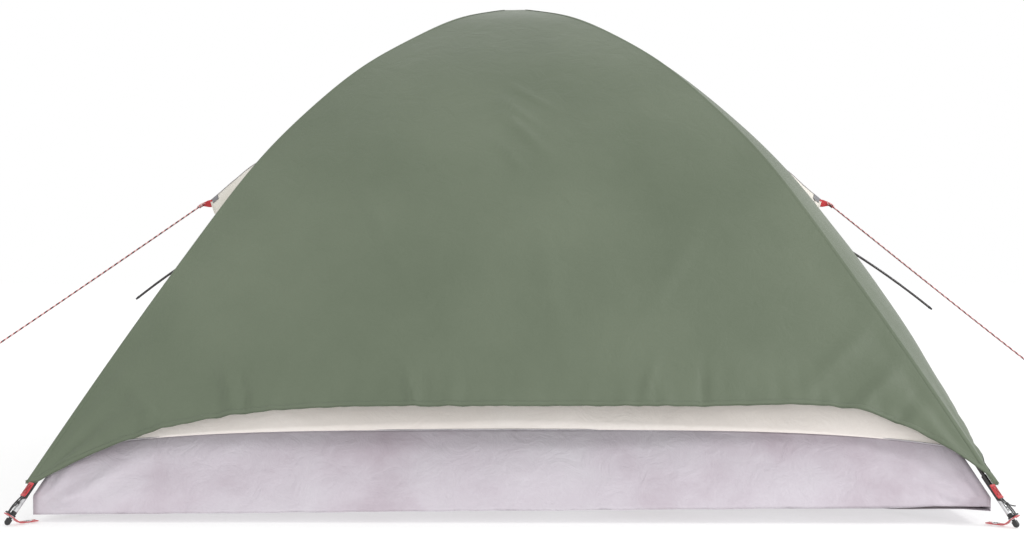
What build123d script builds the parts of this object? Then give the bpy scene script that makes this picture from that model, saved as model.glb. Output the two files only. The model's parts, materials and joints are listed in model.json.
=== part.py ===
from build123d import *
from math import acos, cos, pi, sin, sqrt
import os

# Two-pole dome tent, pitched: flysheet, inner tent, crossing poles, porch canopy on a
# brow pole, side vents with hoods and the two side guy lines.
# Millimetres. +Z is up, the plain rear side faces -Y and the doorway faces +Y.
# The origin is on the ground, below the crossing of the poles.

# ---------- driving dimensions ----------
FOOT_SPREAD = 1060.0        # pole foot, from the middle along X and along Y
POLE_PEAK = 1231.0          # axis of the lower pole where the poles cross
ROD_RADIUS = 4.0
CROSSING_STEP = 9.5         # the upper pole's axis above the lower pole's
RODS_PER_POLE = 7
FERRULE_RADIUS = 6.0
FERRULE_LENGTH = 56.0
ROD_GAP = 1.0               # between two rod ends inside a ferrule
FIT_GAP = 0.4
LOOSE_GAP = 1.0             # round a bent rod, in a straight ferrule or clip

CLOTH = 2.0                 # thickness of every cloth solid
FLY_FOOT = 1074.0           # outside of the flysheet at the ground
FLY_PEAK = 1255.0
FLY_SIDE_BOW = 95.0         # how far the left and right faces belly out
FLY_END_BOW = 22.0          # the same for the rear and front faces
HEM_RISE = 230.0            # hem above the ground at the middle of a side
HEM_SPAN = 1120.0
HEM_CORNER = 80.0          # the hem's lowest corner above the ground
HEM_POWER = 4

INNER_FOOT = 1010.0         # outside of the inner tent at the ground
INNER_PEAK = 1200.0
INNER_BOW = -70.0           # the inner walls hang inwards between their clips
TUB_HEIGHT = 172.0
FLOOR = 3.0

DOOR_HALF = 320.0           # half width of the fly doorway
DOOR_TOP = 720.0
DOOR_ARCH = 90.0            # rise of the arched top of a doorway
DOOR_GAP = 5.0
INNER_DOOR_HALF = 290.0
INNER_DOOR_LOW = 190.0
INNER_DOOR_TOP = 700.0
MESH_LOW = 430.0            # lower edge of the mesh in the inner door

BROW_Y = 900.0              # the brow pole stands in this vertical plane
BROW_MIDDLE = 50.0          # the brow pole stands a little off centre
BROW_PEAK = 950.0
BROW_REACH = 1356.0
BROW_DROP = 526.0           # from the brow pole's peak down to its ends
BROW_TILT = 17.0            # the right end stands lower than the left by twice this
BROW_RODS = 4
SLEEVE_REACH = 1080.0
SLEEVE_RADIUS = 8.5

HOOD_TIP_X = 856.0
HOOD_TIP_Z = 733.0
HOOD_ROOT_X = 600.0
HOOD_ROOT_Z = 925.0
HOOD_ROOT_DEPTH = 315.0
HOOD_HALF = 430.0
HOOD_LIP = 42.0
HOOD_TIP_HALF = 22.0

STRAP_WIDTH = 20.0
EYELET_BORE = 5.0
CORD_RADIUS = 1.5
GUY_LEFT_END = (-1777.0, -600.0, 6.0)
GUY_RIGHT_END = (1636.0, -600.0, 6.0)

STATIONS = (1.0, 0.9, 0.78, 0.64, 0.48, 0.32, 0.17, 0.06)
FAR = 3000.0                # larger than the tent, for cutting shapes
CORNERS = ((1, 1), (1, -1), (-1, 1), (-1, -1))
SIDES = {"left": -1, "right": 1}


# ---------- the dome's shape ----------
def bulge(share):
    """Share of a face's full bow at a station; hardly any at the ground and the peak."""
    return 6.75 * share * share * (1.01 - share)


def vault(foot, peak, side_bow, end_bow):
    """A solid dome on a square plan; its ridges are cosine curves along the diagonals."""
    with BuildPart() as dome:
        for share in STATIONS:
            half = foot * share
            side = half + side_bow * bulge(share)
            end = half + end_bow * bulge(share)
            with BuildSketch(Plane.XY.offset(peak * cos(pi * share / 2))):
                with BuildLine():
                    ThreePointArc((-half, -half), (0, -end), (half, -half))
                    ThreePointArc((half, -half), (side, 0), (half, half))
                    ThreePointArc((half, half), (0, end), (-half, half))
                    ThreePointArc((-half, half), (-side, 0), (-half, -half))
                make_face()
        loft()
    return dome.part


def wedge(turn):
    """The quarter of space that holds one face; turn 0 is the rear face."""
    with BuildPart() as quarter:
        with BuildSketch():
            with BuildLine():
                Polyline((0, 0), (-FAR, -FAR), (FAR, -FAR), close=True)
            make_face()
        extrude(amount=FAR)
    return quarter.part.rotate(Axis.Z, turn)


def hem_cutter(turn):
    """Everything below the arched hem of one face."""
    with BuildPart() as below:
        with BuildSketch(Plane.XZ):
            with BuildLine():
                hem = [(HEM_SPAN * k / 6, HEM_RISE * (1 - (k / 6) ** HEM_POWER)) for k in range(-6, 7)]
                Spline(*hem)
                Polyline((HEM_SPAN, 0), (FAR, 0), (FAR, -FAR), (-FAR, -FAR), (-FAR, 0), (-HEM_SPAN, 0))
            make_face()
        extrude(amount=FAR)
    return below.part.rotate(Axis.Z, turn)


def doorway(half, low, top, arch):
    """A prism along +Y in the shape of a doorway with an arched top."""
    with BuildPart() as prism:
        with BuildSketch(Plane.XZ):
            with BuildLine():
                Line((-half, low), (half, low))
                Line((half, low), (half, top - arch))
                ThreePointArc((half, top - arch), (0, top), (-half, top - arch))
                Line((-half, top - arch), (-half, low))
            make_face()
        extrude(amount=-FAR)
    return prism.part


def slab(low, high):
    """All space between two heights."""
    with BuildPart() as layer:
        with BuildSketch(Plane.XY.offset(low)):
            Rectangle(2 * FAR, 2 * FAR)
        extrude(amount=high - low)
    return layer.part


FACE_TURN = {"rear": 0, "right": 90, "front": 180, "left": 270}


def finish(piece, label):
    """Names a finished piece and writes it."""
    piece.label = label
    export_step(piece, "parts/" + label + ".step")


os.makedirs("parts", exist_ok=True)

fly_mass = vault(FLY_FOOT, FLY_PEAK, FLY_SIDE_BOW, FLY_END_BOW)
fly_space = vault(FLY_FOOT - CLOTH, FLY_PEAK - CLOTH, FLY_SIDE_BOW, FLY_END_BOW)
inner_mass = vault(INNER_FOOT, INNER_PEAK, INNER_BOW, INNER_BOW)
inner_space = vault(INNER_FOOT - CLOTH, INNER_PEAK - CLOTH, INNER_BOW, INNER_BOW)


# ---------- flysheet ----------
def fly_face(name):
    """One face of the flysheet, cut along the ridges and the hem."""
    with BuildPart() as face:
        add(fly_mass)
        add(fly_space, mode=Mode.SUBTRACT)
        add(wedge(FACE_TURN[name]), mode=Mode.INTERSECT)
        add(hem_cutter(FACE_TURN[name]), mode=Mode.SUBTRACT)
        add(slab(HEM_CORNER, FAR), mode=Mode.INTERSECT)
    return face.part


VENT_HALF = 150.0           # half width of a vent window at its lower edge
VENT_LOW = 640.0
VENT_TOP = 830.0


def vent_window():
    """A prism along X in the shape of the two vent windows."""
    with BuildPart() as window:
        with BuildSketch(Plane.YZ):
            with BuildLine():
                Polyline((-VENT_HALF, VENT_LOW), (VENT_HALF, VENT_LOW), (0, VENT_TOP), close=True)
            make_face()
        extrude(amount=FAR, both=True)
    return window.part


with BuildPart() as fly_rear:
    add(fly_face("rear"))
finish(fly_rear.part, "fly_rear")

with BuildPart() as fly_front:
    add(fly_face("front"))
    add(doorway(DOOR_HALF + DOOR_GAP, -FAR, DOOR_TOP + DOOR_GAP, DOOR_ARCH), mode=Mode.SUBTRACT)
finish(fly_front.part, "fly_front")

with BuildPart() as fly_door:
    add(fly_face("front"))
    add(doorway(DOOR_HALF, -FAR, DOOR_TOP, DOOR_ARCH), mode=Mode.INTERSECT)
finish(fly_door.part, "fly_door")

for side in SIDES:
    with BuildPart() as fly_side:
        add(fly_face(side))
        add(vent_window(), mode=Mode.SUBTRACT)
    finish(fly_side.part, "fly_" + side)

    with BuildPart() as vent_mesh:
        add(fly_face(side))
        add(vent_window(), mode=Mode.INTERSECT)
    finish(vent_mesh.part, "vent_mesh_" + side)


# ---------- vent hoods and their guy loops ----------
def hood_section(x, half, low, top):
    """An upside-down V strip across the hood, in the plane at x."""
    with BuildSketch(Plane.YZ.offset(x)) as section:
        with BuildLine():
            Polyline((-half, low), (0, top), (half, low), (half - 2 * CLOTH, low),
                     (0, top - 2 * CLOTH), (-half + 2 * CLOTH, low), close=True)
        make_face()
    return section.sketch


for side, way in SIDES.items():
    with BuildPart() as hood:
        root = hood_section(way * HOOD_ROOT_X, HOOD_HALF, HOOD_ROOT_Z - HOOD_ROOT_DEPTH, HOOD_ROOT_Z)
        tip = hood_section(way * HOOD_TIP_X, HOOD_TIP_HALF, HOOD_TIP_Z - HOOD_LIP, HOOD_TIP_Z)
        loft([root, tip], ruled=True)
        add(fly_mass, mode=Mode.SUBTRACT)
    finish(hood.part, "vent_hood_" + side)

LOOP_LENGTH = 22.0
LOOP_HEIGHT = 12.0
LOOP_WIDTH = 12.0
LOOP_WEB = 2.0
LOOP_GAP = 2.0              # between a hood's tip and its loop
LOOP_DROP = 11.0            # middle of the loop below the hood's tip
loop_mid_x = HOOD_TIP_X + LOOP_GAP + LOOP_LENGTH / 2
loop_mid_z = HOOD_TIP_Z - LOOP_DROP
for side, way in SIDES.items():
    with BuildPart() as guy_loop:
        with BuildSketch(Plane.XZ.offset(-LOOP_WIDTH / 2)):
            with Locations((way * loop_mid_x, loop_mid_z)):
                SlotOverall(LOOP_LENGTH, LOOP_HEIGHT)
                SlotOverall(LOOP_LENGTH - 2 * LOOP_WEB, LOOP_HEIGHT - 2 * LOOP_WEB, mode=Mode.SUBTRACT)
        extrude(amount=LOOP_WIDTH)
    finish(guy_loop.part, "hood_loop_" + side)


# ---------- poles ----------
def pole_point(reach, peak, share):
    """A point of a pole's axis in its own upright plane: distance from the middle, height."""
    return reach * share, peak * cos(pi * share / 2)


def rod(plane, start, middle, end, radius, bore=0.0):
    """A bent rod or tube through three points of a plane."""
    with BuildPart() as bar:
        with BuildLine(plane):
            arc = ThreePointArc(start, middle, end)
        with BuildSketch(Plane(origin=arc @ 0, z_dir=arc % 0)):
            Circle(radius)
            if bore:
                Circle(bore, mode=Mode.SUBTRACT)
        sweep(path=arc)
    return bar.part


POLE_REACH = FOOT_SPREAD * sqrt(2)
ROD_END = 0.955             # share of the reach where the last rod meets its end tube
poles = {
    "pole_a": (Plane(origin=(0, 0, 0), x_dir=(1, 1, 0), z_dir=(1, -1, 0)), POLE_PEAK),
    "pole_b": (Plane(origin=(0, 0, 0), x_dir=(1, -1, 0), z_dir=(-1, -1, 0)), POLE_PEAK + CROSSING_STEP),
}
rod_step = 2 * ROD_END / RODS_PER_POLE
gap_share = ROD_GAP / (2 * POLE_REACH)
ferrules = []
for name, (plane, peak) in poles.items():
    for k in range(RODS_PER_POLE):
        low = -ROD_END + k * rod_step + gap_share
        high = low + rod_step - 2 * gap_share
        ends = [pole_point(POLE_REACH, peak, share) for share in (low, (low + high) / 2, high)]
        with BuildPart() as pole_rod:
            add(rod(plane, *ends, ROD_RADIUS))
        finish(pole_rod.part, name + "_rod_" + str(k + 1))
        if k:
            joint_share = low - gap_share
            half_share = FERRULE_LENGTH / 2 / (POLE_REACH * sqrt(1 + (peak * pi / 2 / POLE_REACH
                                               * sin(pi * joint_share / 2)) ** 2))
            ends = [pole_point(POLE_REACH, peak, joint_share + step * half_share) for step in (-1, 0, 1)]
            ferrules.append(rod(plane, *ends, FERRULE_RADIUS, ROD_RADIUS + LOOSE_GAP))
with BuildPart() as pole_ferrules:
    add(ferrules)
finish(pole_ferrules.part, "pole_ferrules")

# At each corner: a steel end tube, a foot with a pin, the eyelet on the pin and the
# webbing strap that the eyelet sits in.
END_TUBE_RADIUS = 5.8
PIN_RADIUS = 3.6
PIN_LENGTH = 12.0
FOOT_RADIUS = 6.5
FOOT_LENGTH = 16.0
EYELET_RIM = 8.5
EYELET_DEPTH = 4.0
STRAP = 2.0

tip_r, tip_z = pole_point(POLE_REACH, POLE_PEAK, 1 - 0.006)
top_r, top_z = pole_point(POLE_REACH, POLE_PEAK, ROD_END)
run = sqrt((top_r - tip_r) ** 2 + (top_z - tip_z) ** 2)
lean = ((top_r - tip_r) / run, (top_z - tip_z) / run)


def corner_plane(corner):
    """The upright plane through the middle and one corner; its x runs outwards."""
    return Plane(origin=(0, 0, 0), x_dir=(corner[0], corner[1], 0), z_dir=(corner[1], -corner[0], 0))


def along(distance):
    """A point of the pole's end, at a distance up from the middle of its foot."""
    return foot_mid[0] + lean[0] * distance, foot_mid[1] + lean[1] * distance


foot_mid = (top_r - lean[0] * (top_z - FOOT_RADIUS) / lean[1], FOOT_RADIUS)


def turned_profile(corner, points):
    """A solid turned about the pole's end: points are radius and distance up the axis."""
    plane = corner_plane(corner)
    centre = plane.from_local_coords(Vector(*foot_mid, 0))
    up = (plane.x_dir * lean[0] + plane.y_dir * lean[1])
    local = Plane(origin=centre, x_dir=plane.z_dir, z_dir=plane.z_dir.cross(up))
    with BuildPart() as turned:
        with BuildSketch(local):
            with BuildLine():
                Polyline(*points, close=True)
            make_face()
        revolve(axis=Axis(centre, up))
    return turned.part


tube_foot = FOOT_LENGTH / 2 + PIN_LENGTH
tube_top = sqrt((top_r - foot_mid[0]) ** 2 + (top_z - foot_mid[1]) ** 2)
end_tubes = []
feet = []
eyelets = []
straps = []
for corner in CORNERS:
    end_tubes.append(turned_profile(corner, [(ROD_RADIUS + LOOSE_GAP, tube_foot + 6),
                                             (END_TUBE_RADIUS, tube_foot + 6),
                                             (END_TUBE_RADIUS, tube_top + 18),
                                             (ROD_RADIUS + LOOSE_GAP, tube_top + 18)]))
    feet.append(turned_profile(corner, [(0, -FOOT_RADIUS), (3.5, -FOOT_RADIUS + 1), (FOOT_RADIUS, -2),
                                        (FOOT_RADIUS, FOOT_LENGTH / 2), (PIN_RADIUS, FOOT_LENGTH / 2),
                                        (PIN_RADIUS, tube_foot), (END_TUBE_RADIUS, tube_foot),
                                        (END_TUBE_RADIUS, tube_foot + 6), (0, tube_foot + 6)]))
    ring = FOOT_LENGTH / 2 + 3
    eyelets.append(turned_profile(corner, [(PIN_RADIUS + FIT_GAP, ring), (EYELET_RIM, ring),
                                           (EYELET_RIM, ring + EYELET_DEPTH),
                                           (PIN_RADIUS + FIT_GAP, ring + EYELET_DEPTH)]))


def bore_plane(corner, point, up):
    """A plane square to a direction of one corner's upright plane."""
    plane = corner_plane(corner)
    return Plane(origin=plane.from_local_coords(Vector(*point, 0)), x_dir=plane.z_dir,
                 z_dir=plane.x_dir * up[0] + plane.y_dir * up[1])


ring_mid = along(FOOT_LENGTH / 2 + 3 + EYELET_DEPTH / 2)
down = (lean[1] * -1, lean[0])
if down[1] > 0:
    down = (-down[0], -down[1])
SLOPE_RUN = (ring_mid[1] - STRAP - 1) / -down[1]
bend = (ring_mid[0] + down[0] * SLOPE_RUN, ring_mid[1] + down[1] * SLOPE_RUN)
tub_corner = INNER_FOOT * sqrt(2)
peg_spot = ((bend[0] + tub_corner) / 2, STRAP + 1)
for corner in CORNERS:
    half = STRAP / 2
    normal = (-down[1] * half, down[0] * half)
    if normal[1] < 0:
        normal = (-normal[0], -normal[1])
    outer = (ring_mid[0] - down[0] * 14, ring_mid[1] - down[1] * 14)
    with BuildPart() as strap:
        with BuildSketch(corner_plane(corner)):
            with BuildLine():
                Polyline((outer[0] + normal[0], outer[1] + normal[1]),
                         (bend[0] + normal[0] / 2, bend[1] + half),
                         (tub_corner + 0.5, bend[1] + half),
                         (tub_corner + 0.5, bend[1] - half),
                         (bend[0] - normal[0] / 2, bend[1] - half),
                         (outer[0] - normal[0], outer[1] - normal[1]), close=True)
            make_face()
        extrude(amount=STRAP_WIDTH / 2, both=True)
        with BuildSketch(bore_plane(corner, ring_mid, lean)):
            Circle(EYELET_RIM)
        extrude(amount=20, both=True, mode=Mode.SUBTRACT)
        with BuildSketch(bore_plane(corner, peg_spot, (0, 1))):
            Circle(EYELET_RIM)
        extrude(amount=6, both=True, mode=Mode.SUBTRACT)
    straps.append(strap.part)
    with BuildPart() as peg_eyelet:
        with BuildSketch(bore_plane(corner, peg_spot, (0, 1))):
            Circle(EYELET_RIM)
            Circle(EYELET_BORE, mode=Mode.SUBTRACT)
        extrude(amount=EYELET_DEPTH / 2, both=True)
    eyelets.append(peg_eyelet.part)

for label, pieces in (("pole_end_tubes", end_tubes), ("pole_feet", feet),
                      ("strap_eyelets", eyelets), ("corner_straps", straps)):
    with BuildPart() as group:
        add(pieces)
    finish(group.part, label)


# ---------- inner tent ----------
def inner_face(name):
    """One wall of the inner tent, from the tub to the peak."""
    with BuildPart() as face:
        add(inner_mass)
        add(inner_space, mode=Mode.SUBTRACT)
        add(wedge(FACE_TURN[name]), mode=Mode.INTERSECT)
        add(slab(TUB_HEIGHT, FAR), mode=Mode.INTERSECT)
    return face.part


for name in ("rear", "left", "right"):
    with BuildPart() as wall:
        add(inner_face(name))
    finish(wall.part, "inner_" + name)

with BuildPart() as inner_front:
    add(inner_face("front"))
    add(doorway(INNER_DOOR_HALF + DOOR_GAP, INNER_DOOR_LOW - DOOR_GAP, INNER_DOOR_TOP + DOOR_GAP, DOOR_ARCH),
        mode=Mode.SUBTRACT)
finish(inner_front.part, "inner_front")

door_shape = doorway(INNER_DOOR_HALF, INNER_DOOR_LOW, INNER_DOOR_TOP, DOOR_ARCH)
MESH_INSET = 45.0
mesh_shape = doorway(INNER_DOOR_HALF - MESH_INSET, MESH_LOW, INNER_DOOR_TOP - MESH_INSET, DOOR_ARCH - 12)
with BuildPart() as inner_door:
    add(inner_face("front"))
    add(door_shape, mode=Mode.INTERSECT)
    add(mesh_shape, mode=Mode.SUBTRACT)
finish(inner_door.part, "inner_door")

with BuildPart() as inner_door_mesh:
    add(inner_face("front"))
    add(mesh_shape, mode=Mode.INTERSECT)
finish(inner_door_mesh.part, "inner_door_mesh")

with BuildPart() as tub:
    add(inner_mass)
    add(slab(0, TUB_HEIGHT), mode=Mode.INTERSECT)
    with BuildPart(mode=Mode.PRIVATE) as room:
        add(inner_space)
        add(slab(FLOOR, FAR), mode=Mode.INTERSECT)
    add(room.part, mode=Mode.SUBTRACT)
finish(tub.part, "tub_floor")

# Plastic clips hold the inner tent's ridges to the poles.
CLIP_SHARES = (0.2, 0.32, 0.55, 0.8)
CLIP_RADIUS = 7.5
CLIP_GAP = 1.5
CLIP_LENGTH = 12.0
CLIP_ARM = (48.0, 5.0)      # reach in towards the inner tent, thickness
CLIP_ARM_MID = 30.0
clips = []
for name, (plane, peak) in poles.items():
    for share in [way * s for s in CLIP_SHARES for way in (1, -1)]:
        here = pole_point(POLE_REACH, peak, share)
        ahead = pole_point(POLE_REACH, peak, share + 0.001)
        length = sqrt((ahead[0] - here[0]) ** 2 + (ahead[1] - here[1]) ** 2)
        tangent = ((ahead[0] - here[0]) / length, (ahead[1] - here[1]) / length)
        inward = (tangent[1], -tangent[0])
        centre = plane.from_local_coords(Vector(*here, 0))
        axis = plane.x_dir * tangent[0] + plane.y_dir * tangent[1]
        deep = plane.x_dir * inward[0] + plane.y_dir * inward[1]
        with BuildPart() as clip:
            with BuildSketch(Plane(origin=centre, x_dir=deep, z_dir=axis)):
                Circle(CLIP_RADIUS)
                with Locations((CLIP_ARM_MID, 0)):
                    Rectangle(*CLIP_ARM)
                Circle(ROD_RADIUS + CLIP_GAP, mode=Mode.SUBTRACT)
            extrude(amount=CLIP_LENGTH / 2, both=True)
            add(inner_mass, mode=Mode.SUBTRACT)
        clips.append(clip.part.solids().sort_by(SortBy.VOLUME)[-1])
with BuildPart() as pole_clips:
    add(clips)
finish(pole_clips.part, "pole_clips")

# A loop under the roof carries a swinging lantern hook.
HOOK_PIVOT_Z = 1160.0
LANTERN_WEB = (14.0, 40.0, 3.0)
LANTERN_HOLE = 4.0
with BuildPart() as lantern_loop:
    with BuildSketch(Plane.YZ.offset(-LANTERN_WEB[2] / 2)):
        with Locations((0, HOOK_PIVOT_Z + 14)):
            Rectangle(*LANTERN_WEB[:2])
        with Locations((0, HOOK_PIVOT_Z)):
            Circle(LANTERN_HOLE, mode=Mode.SUBTRACT)
    extrude(amount=LANTERN_WEB[2])
    add(inner_space, mode=Mode.INTERSECT)
finish(lantern_loop.part, "lantern_loop")

HOOK_RING = 9.5
HOOK_WIRE = 1.7
HOOK_STEM = 16.0
HOOK_BEND = 11.0            # radius of the open bend below the stem
with BuildPart() as lantern_hook:
    with BuildSketch(Plane.XY.offset(HOOK_PIVOT_Z - HOOK_RING)):
        with Locations((HOOK_RING, 0)):
            Circle(HOOK_WIRE)
    revolve(axis=Axis((0, 0, HOOK_PIVOT_Z - HOOK_RING), (0, 1, 0)))
    with BuildLine(Plane.XZ) as bent:
        stem = Line((0, HOOK_PIVOT_Z - 2 * HOOK_RING), (0, HOOK_PIVOT_Z - 2 * HOOK_RING - HOOK_STEM))
        bight = stem @ 1
        ThreePointArc((bight.X, bight.Z), (HOOK_BEND, bight.Z - HOOK_BEND), (2 * HOOK_BEND, bight.Z))
    with BuildSketch(Plane(origin=stem @ 0, z_dir=(0, 0, -1))):
        Circle(HOOK_WIRE)
    sweep(path=bent.line)
finish(lantern_hook.part, "lantern_hook")


# ---------- flysheet corners ----------
# A webbing tab at each hem corner, two elastic strands down from it and a hook with an
# eye on the pin of the pole's foot.
TAB_OUT = 10.5
TAB_LOW = 60.0
TAB_HIGH = 82.0
TAB_WIDTH = 20.0
STRAND_SPREAD = 5.0
HOOK_LOW = FOOT_LENGTH / 2 + 8
HOOK_HIGH = FOOT_LENGTH / 2 + 11


def corner_block(corner, out, up, width):
    """A block along a pole's end: out and up are ranges from the foot's middle."""
    plane = corner_plane(corner)
    with BuildPart() as block:
        with BuildSketch(plane):
            with BuildLine():
                Polyline(*[(foot_mid[0] + lean[0] * v - down[0] * u, foot_mid[1] + lean[1] * v - down[1] * u)
                           for u, v in ((out[0], up[0]), (out[1], up[0]), (out[1], up[1]), (out[0], up[1]))],
                         close=True)
            make_face()
        extrude(amount=width / 2, both=True)
    return block.part


tabs = []
strands = []
hooks = []
for corner in CORNERS:
    tabs.append(corner_block(corner, (TAB_OUT, TAB_OUT + CLOTH), (TAB_LOW, TAB_HIGH), TAB_WIDTH))
    low = (foot_mid[0] + lean[0] * HOOK_HIGH - down[0] * (TAB_OUT + 1),
           foot_mid[1] + lean[1] * HOOK_HIGH - down[1] * (TAB_OUT + 1))
    for spread in (-STRAND_SPREAD, STRAND_SPREAD):
        with BuildPart() as strand:
            plane = bore_plane(corner, low, lean)
            with BuildSketch(plane):
                with Locations((spread, 0)):
                    Circle(CORD_RADIUS)
            extrude(amount=TAB_LOW - HOOK_HIGH)
        strands.append(strand.part)
    with BuildPart() as hook:
        add(turned_profile(corner, [(PIN_RADIUS + FIT_GAP, HOOK_LOW), (7.5, HOOK_LOW),
                                    (7.5, HOOK_HIGH), (PIN_RADIUS + FIT_GAP, HOOK_HIGH)]))
        add(corner_block(corner, (6, TAB_OUT + 3.5), (HOOK_LOW, HOOK_HIGH), 16))
    hooks.append(hook.part)
for label, pieces in (("fly_tabs", tabs), ("corner_elastics", strands), ("corner_hooks", hooks)):
    with BuildPart() as group:
        add(pieces)
    finish(group.part, label)


# ---------- zips ----------
def face_point(x, z, foot, peak, bow):
    """A point of the front face of a vault, at x and height z."""
    share = acos(z / peak) * 2 / pi
    half = foot * share
    return Vector(x, half + bow * bulge(share) * (1 - (x / half) ** 2), z)


def zip_plane(low, high):
    """A plane on the front face at low, with its y down the face towards low and z outwards."""
    rise = (high - low).normalized()
    return Plane(origin=low, x_dir=(1, 0, 0), z_dir=rise.cross(Vector(1, 0, 0)))


ZIP_CLEAR = 4.0             # underside of a slider from the chord of its travel
PIN = 1.2
PIN_FIT = 0.07
PULLER_LENGTH = 30.0
PULLER_WIDTH = 8.0


def zip_slider(plane):
    """A zip slider's body with two ears and the pin between them."""
    with BuildPart() as slider:
        with BuildSketch(plane.offset(ZIP_CLEAR)):
            with BuildLine():
                Polyline((-5, -9), (5, -9), (7, 0), (4, 9), (-4, 9), (-7, 0), close=True)
            make_face()
        extrude(amount=5)
        with BuildSketch(plane.offset(ZIP_CLEAR + 5)):
            with Locations((-4.5, 0), (4.5, 0)):
                Rectangle(2, 7)
        extrude(amount=5)
        with BuildSketch(Plane(origin=plane.from_local_coords(Vector(-4.5, 0, ZIP_CLEAR + 8)),
                               z_dir=plane.x_dir)):
            Circle(PIN)
        extrude(amount=9)
    return slider.part


def zip_puller(plane):
    """The puller: an eye on the slider's pin and a tongue that hangs down the face."""
    axis = plane.from_local_coords(Vector(-3, 0, ZIP_CLEAR + 8))
    with BuildPart() as puller:
        with BuildSketch(Plane(origin=axis, x_dir=plane.y_dir, z_dir=plane.x_dir)):
            Circle(2.6)
            with Locations((PULLER_LENGTH / 2, 0)):
                Rectangle(PULLER_LENGTH, 1.8)
            Circle(PIN + PIN_FIT, mode=Mode.SUBTRACT)
        extrude(amount=6)
        with BuildSketch(plane.offset(ZIP_CLEAR + 7)):
            with Locations((0, PULLER_LENGTH - 6)):
                Circle(2)
        extrude(amount=4, mode=Mode.SUBTRACT)
    return puller.part


zips = {
    "fly": (DOOR_HALF + DOOR_GAP + 9, 290.0, 490.0, FLY_FOOT, FLY_PEAK, FLY_END_BOW),
    "inner": (INNER_DOOR_HALF + DOOR_GAP + 9, 260.0, 460.0, INNER_FOOT, INNER_PEAK, INNER_BOW),
}
for name, (x, low, high, foot, peak, bow) in zips.items():
    start = face_point(x, low, foot, peak, bow)
    stop = face_point(x, high, foot, peak, bow)
    plane = zip_plane(start, stop)
    with BuildPart() as slider:
        add(zip_slider(plane))
    finish(slider.part, name + "_zip_slider")
    with BuildPart() as puller:
        add(zip_puller(plane))
    finish(puller.part, name + "_zip_puller")


# ---------- porch ----------
def brow_point(x):
    """A point of the brow pole's axis: x and height."""
    out = (x - BROW_MIDDLE) / BROW_REACH
    return x, BROW_PEAK - BROW_DROP * out ** 2 - BROW_TILT * out


def brow_curve(reach, drop):
    """The control points of the brow parabola, out to a reach either way and lowered by drop."""
    left = brow_point(BROW_MIDDLE - reach)[1] - drop
    right = brow_point(BROW_MIDDLE + reach)[1] - drop
    crown = 2 * (BROW_PEAK - drop) - (left + right) / 2
    return (BROW_MIDDLE - reach, left), (BROW_MIDDLE, crown), (BROW_MIDDLE + reach, right)


CANOPY_ROOT = (560.0, 550.0)    # where a free edge of the canopy leaves the ridge: half width, Y
CANOPY_INNER_Y = 200.0      # inside the flysheet, where the canopy is cut away again
CANOPY_SHEET_Y = 300.0
brow_plane = Plane.XZ.offset(-BROW_Y)
with BuildPart() as porch_canopy:
    upper = brow_curve(SLEEVE_REACH, -CLOTH / 2)
    lower = brow_curve(SLEEVE_REACH, CLOTH / 2)
    with BuildSketch(Plane.XZ.offset(-CANOPY_SHEET_Y)):
        with BuildLine():
            Bezier(*upper)
            Bezier(*lower)
            Line(upper[0], lower[0])
            Line(upper[2], lower[2])
        make_face()
    extrude(amount=-(BROW_Y - CANOPY_SHEET_Y - SLEEVE_RADIUS + 0.7))
    with BuildSketch() as plan:
        with BuildLine():
            Polyline((BROW_MIDDLE - SLEEVE_REACH, BROW_Y), (BROW_MIDDLE - SLEEVE_REACH, BROW_Y - 20),
                     (-CANOPY_ROOT[0], CANOPY_ROOT[1]), (-CANOPY_ROOT[0], CANOPY_INNER_Y),
                     (CANOPY_ROOT[0], CANOPY_INNER_Y), CANOPY_ROOT,
                     (BROW_MIDDLE + SLEEVE_REACH, BROW_Y - 20), (BROW_MIDDLE + SLEEVE_REACH, BROW_Y),
                     close=True)
        make_face()
    extrude(amount=FAR, mode=Mode.INTERSECT)
    add(fly_mass, mode=Mode.SUBTRACT)
    with BuildLine(brow_plane):
        brow_line = Bezier(*brow_curve(SLEEVE_REACH, 0))
    with BuildSketch(Plane(origin=brow_line @ 0, z_dir=brow_line % 0)):
        Circle(SLEEVE_RADIUS)
        Circle(SLEEVE_RADIUS - 1, mode=Mode.SUBTRACT)
    sweep(path=brow_line)
finish(porch_canopy.part, "porch_canopy")

brow_step = 2 * BROW_REACH / BROW_RODS
brow_ferrule_parts = []
for k in range(BROW_RODS):
    low = BROW_MIDDLE - BROW_REACH + k * brow_step + ROD_GAP / 2
    high = low + brow_step - ROD_GAP
    with BuildPart() as brow_rod:
        add(rod(brow_plane, brow_point(low), brow_point((low + high) / 2), brow_point(high), ROD_RADIUS))
    finish(brow_rod.part, "brow_rod_" + str(k + 1))
    if k:
        joint_x = low - ROD_GAP / 2
        ends = [brow_point(joint_x + step * FERRULE_LENGTH / 2) for step in (-1, 0, 1)]
        if k == BROW_RODS / 2:
            ends[0] = (ends[0][0], ends[1][1] - 0.3)
            ends[2] = (ends[2][0], ends[1][1] - 0.3)
        brow_ferrule_parts.append(rod(brow_plane, *ends, FERRULE_RADIUS, ROD_RADIUS + LOOSE_GAP))
with BuildPart() as brow_ferrules:
    add(brow_ferrule_parts)
finish(brow_ferrules.part, "brow_ferrules")

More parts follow.
